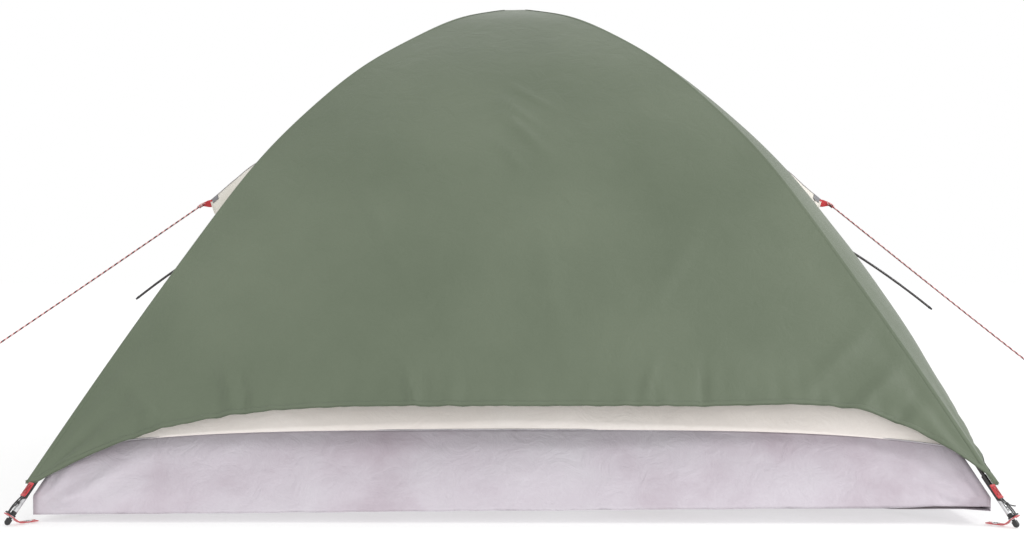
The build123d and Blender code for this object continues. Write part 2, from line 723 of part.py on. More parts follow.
caps = []
for way in (-1, 1):
    end = brow_point(BROW_MIDDLE + way * BROW_REACH)
    near = brow_point(BROW_MIDDLE + way * (BROW_REACH - 1))
    length = sqrt((end[0] - near[0]) ** 2 + (end[1] - near[1]) ** 2)
    heading = ((end[0] - near[0]) / length, (end[1] - near[1]) / length)
    start = (end[0] + heading[0] * 0.8, end[1] + heading[1] * 0.8)
    with BuildPart() as cap:
        with BuildSketch(Plane(origin=brow_plane.from_local_coords(Vector(*start, 0)),
                               z_dir=brow_plane.x_dir * heading[0] + brow_plane.y_dir * heading[1])):
            Circle(ROD_RADIUS + 0.8)
        extrude(amount=14, taper=8)
    caps.append(cap.part)
with BuildPart() as brow_end_caps:
    add(caps)
finish(brow_end_caps.part, "brow_end_caps")


# ---------- guy lines ----------
# Each taut line runs from its hood's loop to a tied loop on the ground; a runner slides on it.
RUNNER_UP = 260.0           # the runner from the ground end, along the line
RUNNER_SIZE = (34.0, 16.0, 7.0)
RING_RADIUS = 18.0
loop_out_x = HOOD_TIP_X + LOOP_GAP + LOOP_LENGTH + 4
for side, way in SIDES.items():
    start = Vector(way * loop_out_x, -3, loop_mid_z - 3)
    stop = Vector(*(GUY_LEFT_END if side == "left" else GUY_RIGHT_END))
    heading = (stop - start).normalized()
    with BuildPart() as guy_line:
        with BuildSketch(Plane(origin=start, z_dir=heading)):
            Circle(CORD_RADIUS)
        extrude(amount=(stop - start).length)
    finish(guy_line.part, "guy_line_" + side)

    flat = Vector(heading.X, heading.Y, 0).normalized()
    ring_mid_point = stop + flat * (RING_RADIUS + 3.5) + Vector(0, 0, -4)
    with BuildPart() as guy_end:
        with BuildSketch(Plane(origin=ring_mid_point + flat * RING_RADIUS, x_dir=flat,
                               z_dir=flat.cross(Vector(0, 0, 1)))):
            Circle(CORD_RADIUS)
        revolve(axis=Axis(ring_mid_point, (0, 0, 1)))
        with BuildSketch(Plane(origin=stop, z_dir=heading)):
            Circle(3)
        extrude(amount=6, taper=20)
    finish(guy_end.part, "guy_end_" + side)

    runner_mid = stop - heading * RUNNER_UP
    runner_plane = Plane(origin=runner_mid, x_dir=heading.cross(Vector(0, 0, 1)), z_dir=heading)
    with BuildPart() as runner:
        with BuildSketch(runner_plane):
            RectangleRounded(RUNNER_SIZE[1], RUNNER_SIZE[2], 2.5)
            Circle(CORD_RADIUS + 0.1, mode=Mode.SUBTRACT)
        extrude(amount=RUNNER_SIZE[0] / 2, both=True)
    finish(runner.part, "guy_runner_" + side)
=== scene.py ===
"""Looks for the pitched dome tent: cloth, webbing, poles, cords, camera and light.

Metres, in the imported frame: X right, Y towards the doorway, Z up, ground at z = 0.
"""
import json
import math
from itertools import accumulate

import bmesh
import bpy
from mathutils import Matrix, Vector, noise


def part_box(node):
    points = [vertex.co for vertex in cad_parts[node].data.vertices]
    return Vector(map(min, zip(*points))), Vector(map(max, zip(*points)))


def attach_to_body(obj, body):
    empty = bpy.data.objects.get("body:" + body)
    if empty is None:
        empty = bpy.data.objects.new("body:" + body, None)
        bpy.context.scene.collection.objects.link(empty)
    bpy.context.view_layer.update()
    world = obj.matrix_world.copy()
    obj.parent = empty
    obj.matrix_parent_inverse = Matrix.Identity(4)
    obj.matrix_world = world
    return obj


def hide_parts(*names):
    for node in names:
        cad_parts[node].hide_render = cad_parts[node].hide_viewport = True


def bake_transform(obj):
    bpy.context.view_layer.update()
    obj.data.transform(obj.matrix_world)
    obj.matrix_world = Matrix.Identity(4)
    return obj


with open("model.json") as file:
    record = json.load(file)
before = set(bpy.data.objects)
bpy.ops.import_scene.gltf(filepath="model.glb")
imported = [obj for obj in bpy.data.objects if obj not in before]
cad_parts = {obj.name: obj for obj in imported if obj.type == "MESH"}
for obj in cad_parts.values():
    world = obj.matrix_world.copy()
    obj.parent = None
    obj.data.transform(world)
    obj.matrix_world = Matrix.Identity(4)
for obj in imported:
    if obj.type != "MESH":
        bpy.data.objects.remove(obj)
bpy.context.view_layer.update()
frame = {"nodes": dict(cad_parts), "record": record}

# ---------- dimensions taken from the frame and the tent's design ----------
tub_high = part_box("tub_floor")[1]
FLY_FOOT = 1.074            # outside of the flysheet at the ground
FLY_PEAK = 1.255
HEM_RISE = 0.243
HEM_SPAN = 1.12
HEM_CORNER = 0.086
INNER_FOOT = tub_high[0]
INNER_PEAK = 1.2
POLE_FOOT = 1.06            # a pole's foot along x or y, and its crown
POLE_PEAK = 1.231
CLIP_DROP = 0.013           # how far inside the pole the clips hold the inner tent
TUB_SEAM = tub_high[2] + 0.008
DOOR_HALF = 0.32
DOOR_TOP = 0.72
DOOR_ARCH = 0.09
DOOR_GAP = 0.003
INNER_DOOR_HALF = 0.29
INNER_DOOR_LOW = 0.19
INNER_DOOR_TOP = 0.70
MESH_LOW = 0.43
BROW_Y = 0.9
BROW_MIDDLE = 0.05
BROW_PEAK = 0.95
BROW_REACH = 1.356
BROW_DROP = 0.526
BROW_TILT = 0.017
SLEEVE_REACH = 1.08
HOOD_TIP = Vector((0.861, 0.0, 0.731))
HOOD_ROOT_Z = 0.935
LOOP_ROOT = Vector((0.8545, 0.0, 0.7235))       # where the hood's webbing loop is sewn on
LOOP_FOLD = Vector((0.8835, 0.0, 0.7195))
HOOD_BASE = (0.175, 0.665)  # where each side of a hood's mouth meets the panel: out, up
FACES = {"rear": 0.0, "right": 90.0, "front": 180.0, "left": 270.0}
SIDE_BOW = {"rear": 0.024, "front": 0.022, "left": 0.058, "right": 0.10}
BOW_POWER = {"rear": 2.0, "front": 2.0, "left": 3.0, "right": 6.0}
INNER_BOW = -0.07
FLY_CLOTH = 0.0008          # thickness of the flysheet, the canopy and the zip tapes
INNER_CLOTH = 0.0006        # and of the inner tent and the tub
FINE_WELD = 0.00005         # points closer than this become one
WELD = 0.0002               # the same where two surfaces only nearly meet
CREASE_GAIN = 2.6


# ---------- shared shape formulas ----------
def bulge(share):
    return 6.75 * share * share * (1.01 - share)


def low_bulge(share):
    """A belly that hangs lower: the right side's cloth."""
    return 9.11 * share ** 3 * (1.01 - share)


def smooth_step(low, high, value):
    t = min(1.0, max(0.0, (value - low) / (high - low)))
    return t * t * (3 - 2 * t)


def hem_height(x, face="front"):
    """Height of the arched hem at x from the middle of a side; the rear hem rides up at its right."""
    height = HEM_RISE * (1 - min(1.0, abs(x) / HEM_SPAN) ** 4)
    if face == "rear":
        height += 0.042 * math.exp(-((x - 0.80) / 0.26) ** 2)
    return max(HEM_CORNER, height)


def share_at(height, peak):
    return math.acos(max(-1.0, min(1.0, height / peak))) * 2 / math.pi


def turned(face, point):
    """A point of the rear face moved to another face."""
    return Matrix.Rotation(math.radians(FACES[face]), 4, "Z") @ Vector(point)


def ridge_lift(share):
    """How far the real ridge stands off a plain cosine curve."""
    return (0.0115 * math.exp(-(share / 0.055) ** 2) - 0.014 * math.exp(-((share - 0.25) / 0.11) ** 2)
            + 0.012 * math.exp(-((share - 0.57) / 0.10) ** 2))


def vault_point(face, x, share, foot, peak, bow, power):
    """A point of a dome's face: x across it, share 0 at the peak and 1 at the ground."""
    half = foot * share
    edge = min(1.0, abs(x) / half) if half > 1e-6 else 1.0
    belly = low_bulge(share) if face == "right" and bow > 0 else bulge(share)
    out = half + bow * belly * (1 - edge ** power)
    return turned(face, (x, -out, peak * math.cos(math.pi * share / 2)))


def fly_base(face, x, share):
    base = vault_point(face, x, share, FLY_FOOT, FLY_PEAK, SIDE_BOW[face], BOW_POWER[face])
    half = max(1e-6, FLY_FOOT * share)
    upper_pole = 0.5 - 0.5 * max(-1.0, min(1.0, base.x * base.y / half ** 2))
    clear = 0.0065 * upper_pole * math.exp(-((share - 0.25) / 0.14) ** 2)
    return base + Vector((0, 0, ridge_lift(share) + clear))


def wrinkle(face, x, share):
    """Height of the flysheet's folds and puckers over its taut shape, in metres."""
    z = FLY_PEAK * math.cos(math.pi * share / 2)
    seed = FACES[face] / 30.0
    slack = noise.noise(Vector((x * 2.2, z * 2.6, seed))) * 0.0035
    slack += noise.noise(Vector((x * 7 + z * 3, z * 5 - x * 2, seed + 4))) * 0.0010
    # drawn folds that run from each lower corner up and in
    drawn = 0.0
    for way in (-1, 1):
        away = FLY_FOOT * 0.95 - way * x
        rise = z - HEM_CORNER
        reach = math.hypot(away, rise)
        angle = math.atan2(rise, away + 1e-6)
        fold = math.sin(angle * 17 + 2.1 * noise.noise(Vector((reach * 3, angle * 2, seed + 9))) + way)
        drawn += fold * 0.0060 * math.exp(-reach / 0.24) * smooth_step(0.02, 0.12, reach)
    # puckers along the stitched hem
    above = z - hem_height(x, face)
    pucker = noise.noise(Vector((x * 34, above * 9, seed + 2)))
    pucker *= 0.5 + 0.5 * noise.noise(Vector((x * 4.1, 0, seed + 7)))
    drawn += pucker * 0.0150 * math.exp(-max(0.0, above) / 0.040)
    # a few slanting creases where the cloth was folded away
    for cx, cz, tilt, size, depth in CREASES[face]:
        across = (x - cx) * math.cos(tilt) + (z - cz) * math.sin(tilt)
        along = -(x - cx) * math.sin(tilt) + (z - cz) * math.cos(tilt)
        drawn += CREASE_GAIN * depth * math.exp(-(across / (size * 0.16)) ** 2 - (along / size) ** 2)
    ridge = abs(x) / FLY_FOOT
    return (slack + drawn) * smooth_step(0.0, 0.05, share - ridge)


# each crease: its middle across and up, its tilt, its length and its depth
CREASES = {
    "rear": ((0.0, 0.93, 0.9, 0.06, 0.0020), (0.02, 0.87, 0.75, 0.08, 0.0024),
             (-0.01, 0.80, 0.8, 0.06, 0.0018), (0.05, 0.96, 1.0, 0.05, 0.0015),
             (-0.30, 0.62, 0.5, 0.10, 0.0014), (0.36, 0.52, -0.6, 0.12, 0.0015),
             (0.78, 0.26, -0.85, 0.10, 0.0042), (0.84, 0.22, -0.80, 0.08, -0.0036),
             (0.72, 0.34, -0.85, 0.12, 0.0030), (-0.80, 0.24, 0.8, 0.09, 0.0026),
             (-0.62, 0.28, 0.3, 0.05, 0.0030), (-0.58, 0.27, 0.2, 0.04, -0.0030),
             (-0.22, 0.28, 0.3, 0.05, 0.0030), (-0.18, 0.27, 0.1, 0.04, -0.0028),
             (0.30, 0.285, -0.3, 0.05, 0.0026), (0.42, 0.28, -0.1, 0.05, -0.0026),
             (0.10, 0.45, 0.2, 0.14, 0.0012)),
    "front": ((0.5, 0.5, 0.6, 0.1, 0.002), (-0.5, 0.55, -0.7, 0.1, 0.002), (0.1, 0.95, 0.8, 0.07, 0.002)),
    "left": ((0.0, 0.95, 0.7, 0.08, 0.002), (-0.4, 0.5, -0.6, 0.12, 0.002), (0.45, 0.42, 0.7, 0.1, 0.0025)),
    "right": ((0.1, 0.97, 0.8, 0.08, 0.002), (0.4, 0.45, 0.7, 0.12, 0.002), (-0.55, 0.4, -0.8, 0.12, 0.003)),
}


def fly_point(face, x, share, lift=0.0):
    """A point of the finished flysheet, with its wrinkles, raised by lift."""
    step = 0.002
    here = fly_base(face, x, share)
    side = fly_base(face, x + step, max(share, abs(x + step) / FLY_FOOT))
    down = fly_base(face, x, min(1.0, share + step))
    normal = (down - here).cross(side - here)
    if normal.length < 1e-12:
        normal = Vector((0, 0, 1))
    normal.normalize()
    if normal.z < 0:
        normal = -normal
    return here + normal * (wrinkle(face, x, share) + lift)


def brow_height(x):
    out = (x - BROW_MIDDLE) / BROW_REACH
    return BROW_PEAK - BROW_DROP * out ** 2 - BROW_TILT * out


# ---------- mesh helpers ----------
def link(obj):
    bpy.context.scene.collection.objects.link(obj)
    return obj


def mesh_object(name, shape, mat, smooth=True):
    """An object made of (verts, faces, uvs)."""
    verts, faces, uvs = shape
    mesh = bpy.data.meshes.new(name)
    mesh.from_pydata([tuple(v) for v in verts], [], faces)
    if uvs:
        layer = mesh.uv_layers.new(name="cloth")
        for loop in mesh.loops:
            layer.data[loop.index].uv = uvs[loop.vertex_index]
    mesh.polygons.foreach_set("use_smooth", [smooth] * len(mesh.polygons))
    mesh.materials.append(mat)
    mesh.update()
    return link(bpy.data.objects.new(name, mesh))


def grid_faces(columns, rows):
    step = rows + 1
    corners = [i * step + j for i in range(columns) for j in range(rows)]
    return [(a, a + step, a + step + 1, a + 1) for a in corners]


def grid_mesh(columns, rows, place, flat=None):
    """Vertices, faces and cloth coordinates of a grid; place(u, v) with u and v from 0 to 1."""
    spots = [(i / columns, j / rows) for i in range(columns + 1) for j in range(rows + 1)]
    verts = [place(u, v) for u, v in spots]
    uvs = [flat(u, v) for u, v in spots] if flat else spots
    return verts, grid_faces(columns, rows), uvs


def joined(parts):
    """Several (verts, faces, uvs) as one."""
    verts, faces, uvs = [], [], []
    for part_verts, part_faces, part_uvs in parts:
        start = len(verts)
        verts += part_verts
        uvs += part_uvs
        faces += [tuple(start + k for k in face) for face in part_faces]
    return verts, faces, uvs


def tidy_mesh(obj, gap):
    """Welds double points and drops faces without area."""
    work = bmesh.new()
    work.from_mesh(obj.data)
    bmesh.ops.remove_doubles(work, verts=work.verts, dist=gap)
    bmesh.ops.dissolve_degenerate(work, edges=work.edges, dist=gap)
    bmesh.ops.recalc_face_normals(work, faces=work.faces)
    work.to_mesh(obj.data)
    work.free()


def thicken(obj, thickness, offset):
    solid = obj.modifiers.new("thickness", "SOLIDIFY")
    solid.thickness = thickness
    solid.offset = offset


def attach(obj, node=None, body="tent"):
    """Puts a finished object on its body and in its CAD node's place."""
    if body:
        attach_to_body(obj, body)
    if node:
        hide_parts(node)
    return obj


def piece(name, shape, mat, node=None, body="tent", weld=None, thick=None):
    """A whole piece from its shape; thick is a thickness and where it lies, from -1 to 1."""
    obj = mesh_object(name, shape, mat)
    if weld:
        tidy_mesh(obj, weld)
    if thick:
        thicken(obj, *thick)
    return attach(obj, node, body)


def stops(low, high, count):
    """Evenly spaced values from low to high, both included."""
    return [low + (high - low) * k / count for k in range(count + 1)]


def ring_frames(points, closed=False):
    """Centre, across and up vectors along a path, without twist."""
    frames = []
    last = None
    count = len(points)
    for k, here in enumerate(points):
        before = points[(k - 1) % count] if closed or k else points[k]
        after = points[(k + 1) % count] if closed or k < count - 1 else points[k]
        ahead = (after - before).normalized()
        if last is None:
            guess = Vector((0, 0, 1)) if abs(ahead.z) < 0.9 else Vector((1, 0, 0))
            last = ahead.cross(guess).normalized()
        across = (last - ahead * last.dot(ahead)).normalized()
        last = across
        frames.append((here, across, ahead.cross(across)))
    return frames


def distances(points):
    """How far along a path each of its points is."""
    return [0.0] + list(accumulate((b - a).length for a, b in zip(points, points[1:])))


def wall_faces(rings, around, closed=False):
    """Faces between neighbouring rings of points, and from the last to the first when the path is closed."""
    faces = []
    pairs = [(a, (a + 1) % around) for a in range(around)]
    for k in range(rings if closed else rings - 1):
        first = k * around
        after = (k + 1) % rings * around
        faces += [(first + a, first + b, after + b, after + a) for a, b in pairs]
    return faces


def tube_mesh(points, radius, around, closed=False, flat=1.0, caps=True):
    """A tube along points; flat squeezes its height."""
    verts = []
    uvs = []
    count = len(points)
    for k, ((here, across, up), far) in enumerate(zip(ring_frames(points, closed), distances(points))):
        size = radius(k / (count - 1)) if callable(radius) else radius
        for a in range(around):
            turn = 2 * math.pi * a / around
            verts.append(here + across * (math.cos(turn) * size) + up * (math.sin(turn) * size * flat))
            uvs.append((far, a / around))
    faces = wall_faces(count, around, closed)
    if not closed and caps:
        faces.append(tuple(range(around)))
        faces.append(tuple(reversed(range((count - 1) * around, count * around))))
    return verts, faces, uvs


def strip_mesh(points, sides, width, thickness, taper=None):
    """Webbing: a flat strip with rounded edges; sides gives its width direction at each point."""
    verts = []
    uvs = []
    half = thickness / 2
    profile = []
    for way in (1, -1):
        for a in stops(math.pi / 2, -math.pi / 2, 6):
            profile.append((way * (width / 2 - half + half * math.cos(a)), way * half * math.sin(a)))
    around = len(profile)
    count = len(points)
    for k, (here, far) in enumerate(zip(points, distances(points))):
        ahead = (points[min(k + 1, count - 1)] - points[max(k - 1, 0)]).normalized()
        side = (sides[k] - ahead * sides[k].dot(ahead)).normalized()
        up = ahead.cross(side)
        narrow = taper[k] if taper else 1.0
        for out, high in profile:
            verts.append(here + side * (out * narrow) + up * high)
            uvs.append((far, out))
    faces = wall_faces(count, around)
    faces.append(tuple(reversed(range(around))))
    faces.append(tuple(range((count - 1) * around, count * around)))
    return verts, faces, uvs


# ---------- materials ----------
def material(name, roughness=0.7, metallic=0.0, sheen=0.0, coat=0.0):
    mat = bpy.data.materials.new(name)
    mat.use_nodes = True
    shader = mat.node_tree.nodes["Principled BSDF"]
    shader.inputs["Roughness"].default_value = roughness
    shader.inputs["Metallic"].default_value = metallic
    shader.inputs["Sheen Weight"].default_value = sheen
    shader.inputs["Coat Weight"].default_value = coat
    return mat, mat.node_tree, shader


def add_node(tree, kind, inputs=None, **settings):
    """A node with its settings; inputs maps a socket to a value or to another node's output."""
    node = tree.nodes.new(kind)
    for key, value in settings.items():
        setattr(node, key, value)
    for key, value in (inputs or {}).items():
        if isinstance(value, bpy.types.NodeSocket):
            tree.links.new(value, node.inputs[key])
        else:
            node.inputs[key].default_value = value
    return node


def ramp(tree, factor, stops):
    node = add_node(tree, "ShaderNodeValToRGB", {"Fac": factor})
    while len(node.color_ramp.elements) < len(stops):
        node.color_ramp.elements.new(0.5)
    for element, (position, colour) in zip(node.color_ramp.elements, stops):
        element.position = position
        element.color = (*colour, 1)
    return node.outputs["Color"]


def mix(tree, factor, first, second):
    node = add_node(tree, "ShaderNodeMix", data_type="RGBA")
    for socket, value in ((node.inputs[0], factor), (node.inputs[6], first), (node.inputs[7], second)):
        if isinstance(value, bpy.types.NodeSocket):
            tree.links.new(value, socket)
        else:
            socket.default_value = value if isinstance(value, float) else (*value, 1)
    return node.outputs[2]


def coordinates(tree, kind="Object"):
    return add_node(tree, "ShaderNodeTexCoord").outputs[kind]


def noise_map(tree, where, scale, **more):
    """Noise; more names its other sockets, such as Detail."""
    return add_node(tree, "ShaderNodeTexNoise", {"Vector": where, "Scale": scale, **more}).outputs["Fac"]


def bands(tree, where, scale, direction, **more):
    node = add_node(tree, "ShaderNodeTexWave", {"Vector": where, "Scale": scale, **more},
                    wave_type="BANDS", bands_direction=direction)
    return node.outputs["Fac"]


def weave(tree, where, scale, operation, **more):
    """Warp and weft threads at a real spacing, put together."""
    warp = bands(tree, where, scale, "X", **more)
    weft = bands(tree, where, scale, "Y", **more)
    return add_node(tree, "ShaderNodeMath", {0: warp, 1: weft}, operation=operation).outputs[0]


def bump(tree, height, strength, distance, last=None):
    inputs = {"Height": height, "Strength": strength, "Distance": distance}
    if last is not None:
        inputs["Normal"] = last
    return add_node(tree, "ShaderNodeBump", inputs).outputs["Normal"]


def map_range(tree, value, first, last, start=0.0, stop=1.0):
    """first where value is start and last where it is stop."""
    node = add_node(tree, "ShaderNodeMapRange", {"Value": value, "From Min": start, "From Max": stop,
                                                 "To Min": first, "To Max": last})
    return node.outputs["Result"]


def connect(tree, shader, **sockets):
    for name, value in sockets.items():
        tree.links.new(value, shader.inputs[name.replace("_", " ")])


def cloth_material(name, dark, base, light, roughness, threads, sheen=0.2, crumple=0.0006, mottle=3.0):
    """Coated tent cloth: soft colour clouds, fine threads and a crumpled surface."""
    mat, tree, shader = material(name, roughness, sheen=sheen)
    where = coordinates(tree)
    clouds = noise_map(tree, where, mottle, Detail=6.0, Roughness=0.55)
    colour = ramp(tree, clouds, ((0.32, dark), (0.5, base), (0.70, light)))
    fine = noise_map(tree, where, 160.0, Detail=3.0)
    colour = mix(tree, 0.10, colour, ramp(tree, fine, ((0.3, dark), (0.7, light))))
    creases = noise_map(tree, where, 16.0, Detail=5.0, Roughness=0.6, Distortion=0.8)
    soft = bump(tree, creases, 0.5, crumple * 8)
    cross = weave(tree, coordinates(tree, "UV"), threads, "MULTIPLY", Distortion=0.4)
    colour = mix(tree, 0.10, colour, ramp(tree, cross, ((0.0, dark), (1.0, light))))
    connect(tree, shader, Base_Color=colour, Normal=bump(tree, cross, 0.35, 0.0002, soft))
    return mat


def webbing_material(name, dark, light, pitch=0.0022):
    """Ribbed webbing."""
    mat, tree, shader = material(name, 0.62, sheen=0.3)
    rib = bands(tree, coordinates(tree, "UV"), 0.314 / pitch, "DIAGONAL", Distortion=0.6)
    grain = noise_map(tree, coordinates(tree), 90.0, Detail=4.0)
    colour = mix(tree, 0.5, ramp(tree, rib, ((0.1, dark), (0.9, light))),
                 ramp(tree, grain, ((0.3, dark), (0.7, light))))
    connect(tree, shader, Base_Color=colour, Normal=bump(tree, rib, 0.7, 0.0004))
    return mat


def plain_material(name, dark, light, roughness, metallic=0.0, scale=60.0, coat=0.0):
    """Moulded plastic, drawn metal or fibreglass with fine grain and small colour changes."""
    mat, tree, shader = material(name, roughness, metallic, coat=coat)
    grain = noise_map(tree, coordinates(tree), scale, Detail=5.0)
    connect(tree, shader, Base_Color=ramp(tree, grain, ((0.3, dark), (0.7, light))),
            Roughness=map_range(tree, grain, roughness * 0.8, min(1.0, roughness * 1.25)),
            Normal=bump(tree, grain, 0.4, 0.0002))
    return mat


def cord_material(name, ground, fleck, pale, period=0.019):
    """Braided cord: slanting strands with dark and pale flecks along it."""
    mat, tree, shader = material(name, 0.6, sheen=0.3)
    slant = add_node(tree, "ShaderNodeMapping", {"Vector": coordinates(tree, "UV"),
                                                 "Scale": (1.0, period / 2, 1.0)}).outputs["Vector"]
    dashes = bands(tree, slant, 0.628 / period, "DIAGONAL", Distortion=0.5, Detail=1.0)
    strands = bands(tree, slant, 3.0 / period, "DIAGONAL")
    colour = ramp(tree, dashes, ((0.14, fleck), (0.30, ground), (0.66, ground), (0.84, pale)))
    colour = mix(tree, 0.15, colour, ramp(tree, strands, ((0.2, fleck), (0.8, pale))))
    connect(tree, shader, Base_Color=colour, Normal=bump(tree, strands, 0.8, 0.0005))
    return mat


def mesh_material(name, colour):
    """Fine netting: threads with holes between them."""
    mat, tree, shader = material(name, 0.7)
    threads = weave(tree, coordinates(tree, "UV"), 130.0, "MAXIMUM")
    cloud = noise_map(tree, coordinates(tree), 8.0)
    pale = tuple(c * 1.6 for c in colour)
    connect(tree, shader, Base_Color=ramp(tree, cloud, ((0.3, colour), (0.7, pale))),
            Alpha=map_range(tree, threads, 0.35, 1.0, 0.45, 0.75), Normal=bump(tree, threads, 0.6, 0.0003))
    return mat


GREEN = cloth_material("fly_cloth", (0.086, 0.112, 0.068), (0.101, 0.128, 0.081), (0.118, 0.146, 0.095),
                       0.58, 620.0, sheen=0.15, crumple=0.0007, mottle=2.4)
GREEN_EDGE = cloth_material("fly_binding", (0.078, 0.100, 0.068), (0.095, 0.118, 0.082), (0.110, 0.134, 0.095),
                            0.66, 620.0, sheen=0.15, crumple=0.0004, mottle=9.0)
CREAM = cloth_material("inner_cloth", (0.76, 0.705, 0.665), (0.84, 0.785, 0.745), (0.88, 0.835, 0.800),
                       0.75, 560.0, sheen=0.3, crumple=0.0008, mottle=4.0)
# painted glow: a faint cream emission that stands in for daylight coming through the thin cloth
cream_glow_shader = CREAM.node_tree.nodes["Principled BSDF"]
cream_glow_shader.inputs["Emission Color"].default_value = (0.92, 0.84, 0.78, 1)
cream_glow_shader.inputs["Emission Strength"].default_value = 0.14
HOOD = cloth_material("hood_cloth", (0.60, 0.57, 0.50), (0.72, 0.69, 0.63), (0.80, 0.77, 0.71),
                      0.7, 560.0, sheen=0.2, crumple=0.0005, mottle=7.0)
TUB = cloth_material("tub_sheet", (0.435, 0.370, 0.420), (0.535, 0.490, 0.540), (0.580, 0.555, 0.595),
                     0.50, 420.0, sheen=0.1, crumple=0.0012, mottle=4.2)
PIPING = cloth_material("seam_piping", (0.42, 0.40, 0.42), (0.52, 0.50, 0.52), (0.62, 0.60, 0.62),
                        0.7, 700.0, crumple=0.0002, mottle=20.0)
GREY_PATCH = cloth_material("patch_cloth", (0.16, 0.16, 0.17), (0.21, 0.21, 0.22), (0.27, 0.27, 0.28),
                            0.7, 500.0, crumple=0.0002, mottle=20.0)
NET = mesh_material("netting", (0.022, 0.022, 0.024))
RED_WEB = webbing_material("red_web", (0.36, 0.008, 0.015), (0.62, 0.028, 0.035))
TAPE = webbing_material("zip_tape", (0.020, 0.022, 0.018), (0.045, 0.050, 0.042), pitch=0.0012)
ROD = plain_material("glass_fibre", (0.013, 0.010, 0.010), (0.034, 0.026, 0.026), 0.38, scale=220.0, coat=0.2)
STEEL = plain_material("plated_steel", (0.46, 0.46, 0.47), (0.70, 0.70, 0.71), 0.26, metallic=1.0, scale=140.0)
BLACK_PLASTIC = plain_material("black_nylon", (0.010, 0.010, 0.011), (0.026, 0.026, 0.028), 0.42, scale=120.0)
ZIP_METAL = plain_material("lacquered_zinc", (0.012, 0.012, 0.013), (0.05, 0.05, 0.052), 0.30, metallic=0.8,
                           scale=180.0)
GUY = cord_material("guy_braid", (0.56, 0.020, 0.030), (0.012, 0.006, 0.008), (0.86, 0.60, 0.58))
ELASTIC = cord_material("elastic_braid", (0.012, 0.012, 0.013), (0.004, 0.004, 0.004), (0.05, 0.05, 0.052))


# ---------- camera ----------
LENS_PIXELS = 1455.9        # focal length at 1024 across
EYE = Vector((0.0453, -4.105, 0.5447))
YAW = math.atan(19.2 / LENS_PIXELS)
camera_data = bpy.data.cameras.new("camera")
camera_data.sensor_width = 36
camera_data.lens = LENS_PIXELS / 1024 * camera_data.sensor_width
camera = link(bpy.data.objects.new("camera", camera_data))
camera.location = EYE
camera.rotation_euler = (math.radians(90), 0, YAW)
bpy.context.scene.camera = camera


# ---------- guy lines, first of the pieces ----------
CORD_RADIUS = 0.0021
GUY_ENDS = {"left": (Vector((-0.884, -0.003, 0.719)), Vector((-1.777, -0.6, 0.006))),
            "right": (Vector((0.884, -0.003, 0.719)), Vector((1.636, -0.6, 0.006)))}


def smooth_route(name, points):
    """The points of a smooth NURBS line through a route, as Blender works them out."""
    curve = bpy.data.curves.new(name + "_route", "CURVE")
    curve.dimensions = "3D"
    curve.resolution_u = 24
    spline = curve.splines.new("NURBS")
    spline.points.add(len(points) - 1)
    for slot, point in zip(spline.points, points):
        slot.co = (*point, 1)
    spline.order_u = 3
    spline.use_endpoint_u = True
    holder = link(bpy.data.objects.new(name + "_route", curve))
    shape = bpy.data.meshes.new_from_object(holder)
    path = [v.co.copy() for v in shape.vertices]
    bpy.data.objects.remove(holder)
    bpy.data.meshes.remove(shape)
    return path


for side, (start, stop) in GUY_ENDS.items():
    third = (stop - start) / 3
    sag = Vector((0, 0, -0.006))
    route = smooth_route("guy_" + side, [start, start + third + sag, start + third * 2 + sag, stop])
    cord = piece("guy_cord_" + side, tube_mesh(route, CORD_RADIUS, 10), GUY, "guy_line_" + side)

    ahead = (stop - start).normalized()
    level = Vector((ahead.x, ahead.y, 0)).normalized()
    cross = Vector((-level.y, level.x, 0))
    above = ahead.cross(cross)
    # the tied loop on the ground and its knot
    loop_mid = stop + level * 0.0215 + Vector((0, 0, -0.0035))
    ring = []
    for k in range(40):
        a = 2 * math.pi * k / 40
        ring.append(loop_mid + level * (0.020 * math.cos(a) * (1 - 0.15 * math.cos(a)))
                    + cross * (0.0125 * math.sin(a)) + Vector((0, 0, 0.0006 * math.sin(3 * a))))
    turns = [stop + ahead * (-0.008 + 0.010 * t) + cross * (0.0030 * math.cos(6 * math.pi * t))
             + above * (0.0030 * math.sin(6 * math.pi * t)) + Vector((0, 0, 0.001)) for t in stops(0, 1, 59)]
    loop = joined([tube_mesh(ring, CORD_RADIUS, 10, closed=True), tube_mesh(turns, CORD_RADIUS, 8)])
    end = piece("guy_loop_" + side, loop, GUY, "guy_end_" + side)

    # the knot that ties the line to the hood's loop
    turns = [start + ahead * (0.014 * t - 0.001) + cross * (0.0032 * math.cos(7 * math.pi * t))
             + above * (0.0032 * math.sin(7 * math.pi * t)) for t in stops(0, 1, 69)]
    bight = [start - ahead * (0.013 * math.sin(a)) + cross * (0.0045 * math.cos(a))
             for a in stops(0, math.pi, 23)]
    knot = joined([tube_mesh(turns, CORD_RADIUS, 8), tube_mesh(bight, CORD_RADIUS, 8)])
    knot = piece("guy_knot_" + side, knot, GUY)
    length = sum((b - a).length for a, b in zip(route, route[1:]))
    [tuple(p) for p in route]


# ---------- flysheet ----------
def face_columns(face, left, right, columns, rows, low, point, foot):
    """A grid over part of a face: from x left to right, from the edge low(x) up to the ridge."""
    def place(u, v):
        x = left + (right - left) * u
        top = abs(x) / foot
        bottom = max(low(x), top)
        return point(face, x, bottom + (top - bottom) * v)

    def flat(u, v):
        x = left + (right - left) * u
        return x, (low(x) + (abs(x) / foot - low(x)) * v) * 1.5
    return grid_mesh(columns, rows, place, flat)


def hem_share(x, face="front"):
    return share_at(hem_height(x, face), FLY_PEAK)


CORNER_X = FLY_FOOT * share_at(HEM_CORNER, FLY_PEAK)    # where the hem meets the ridge


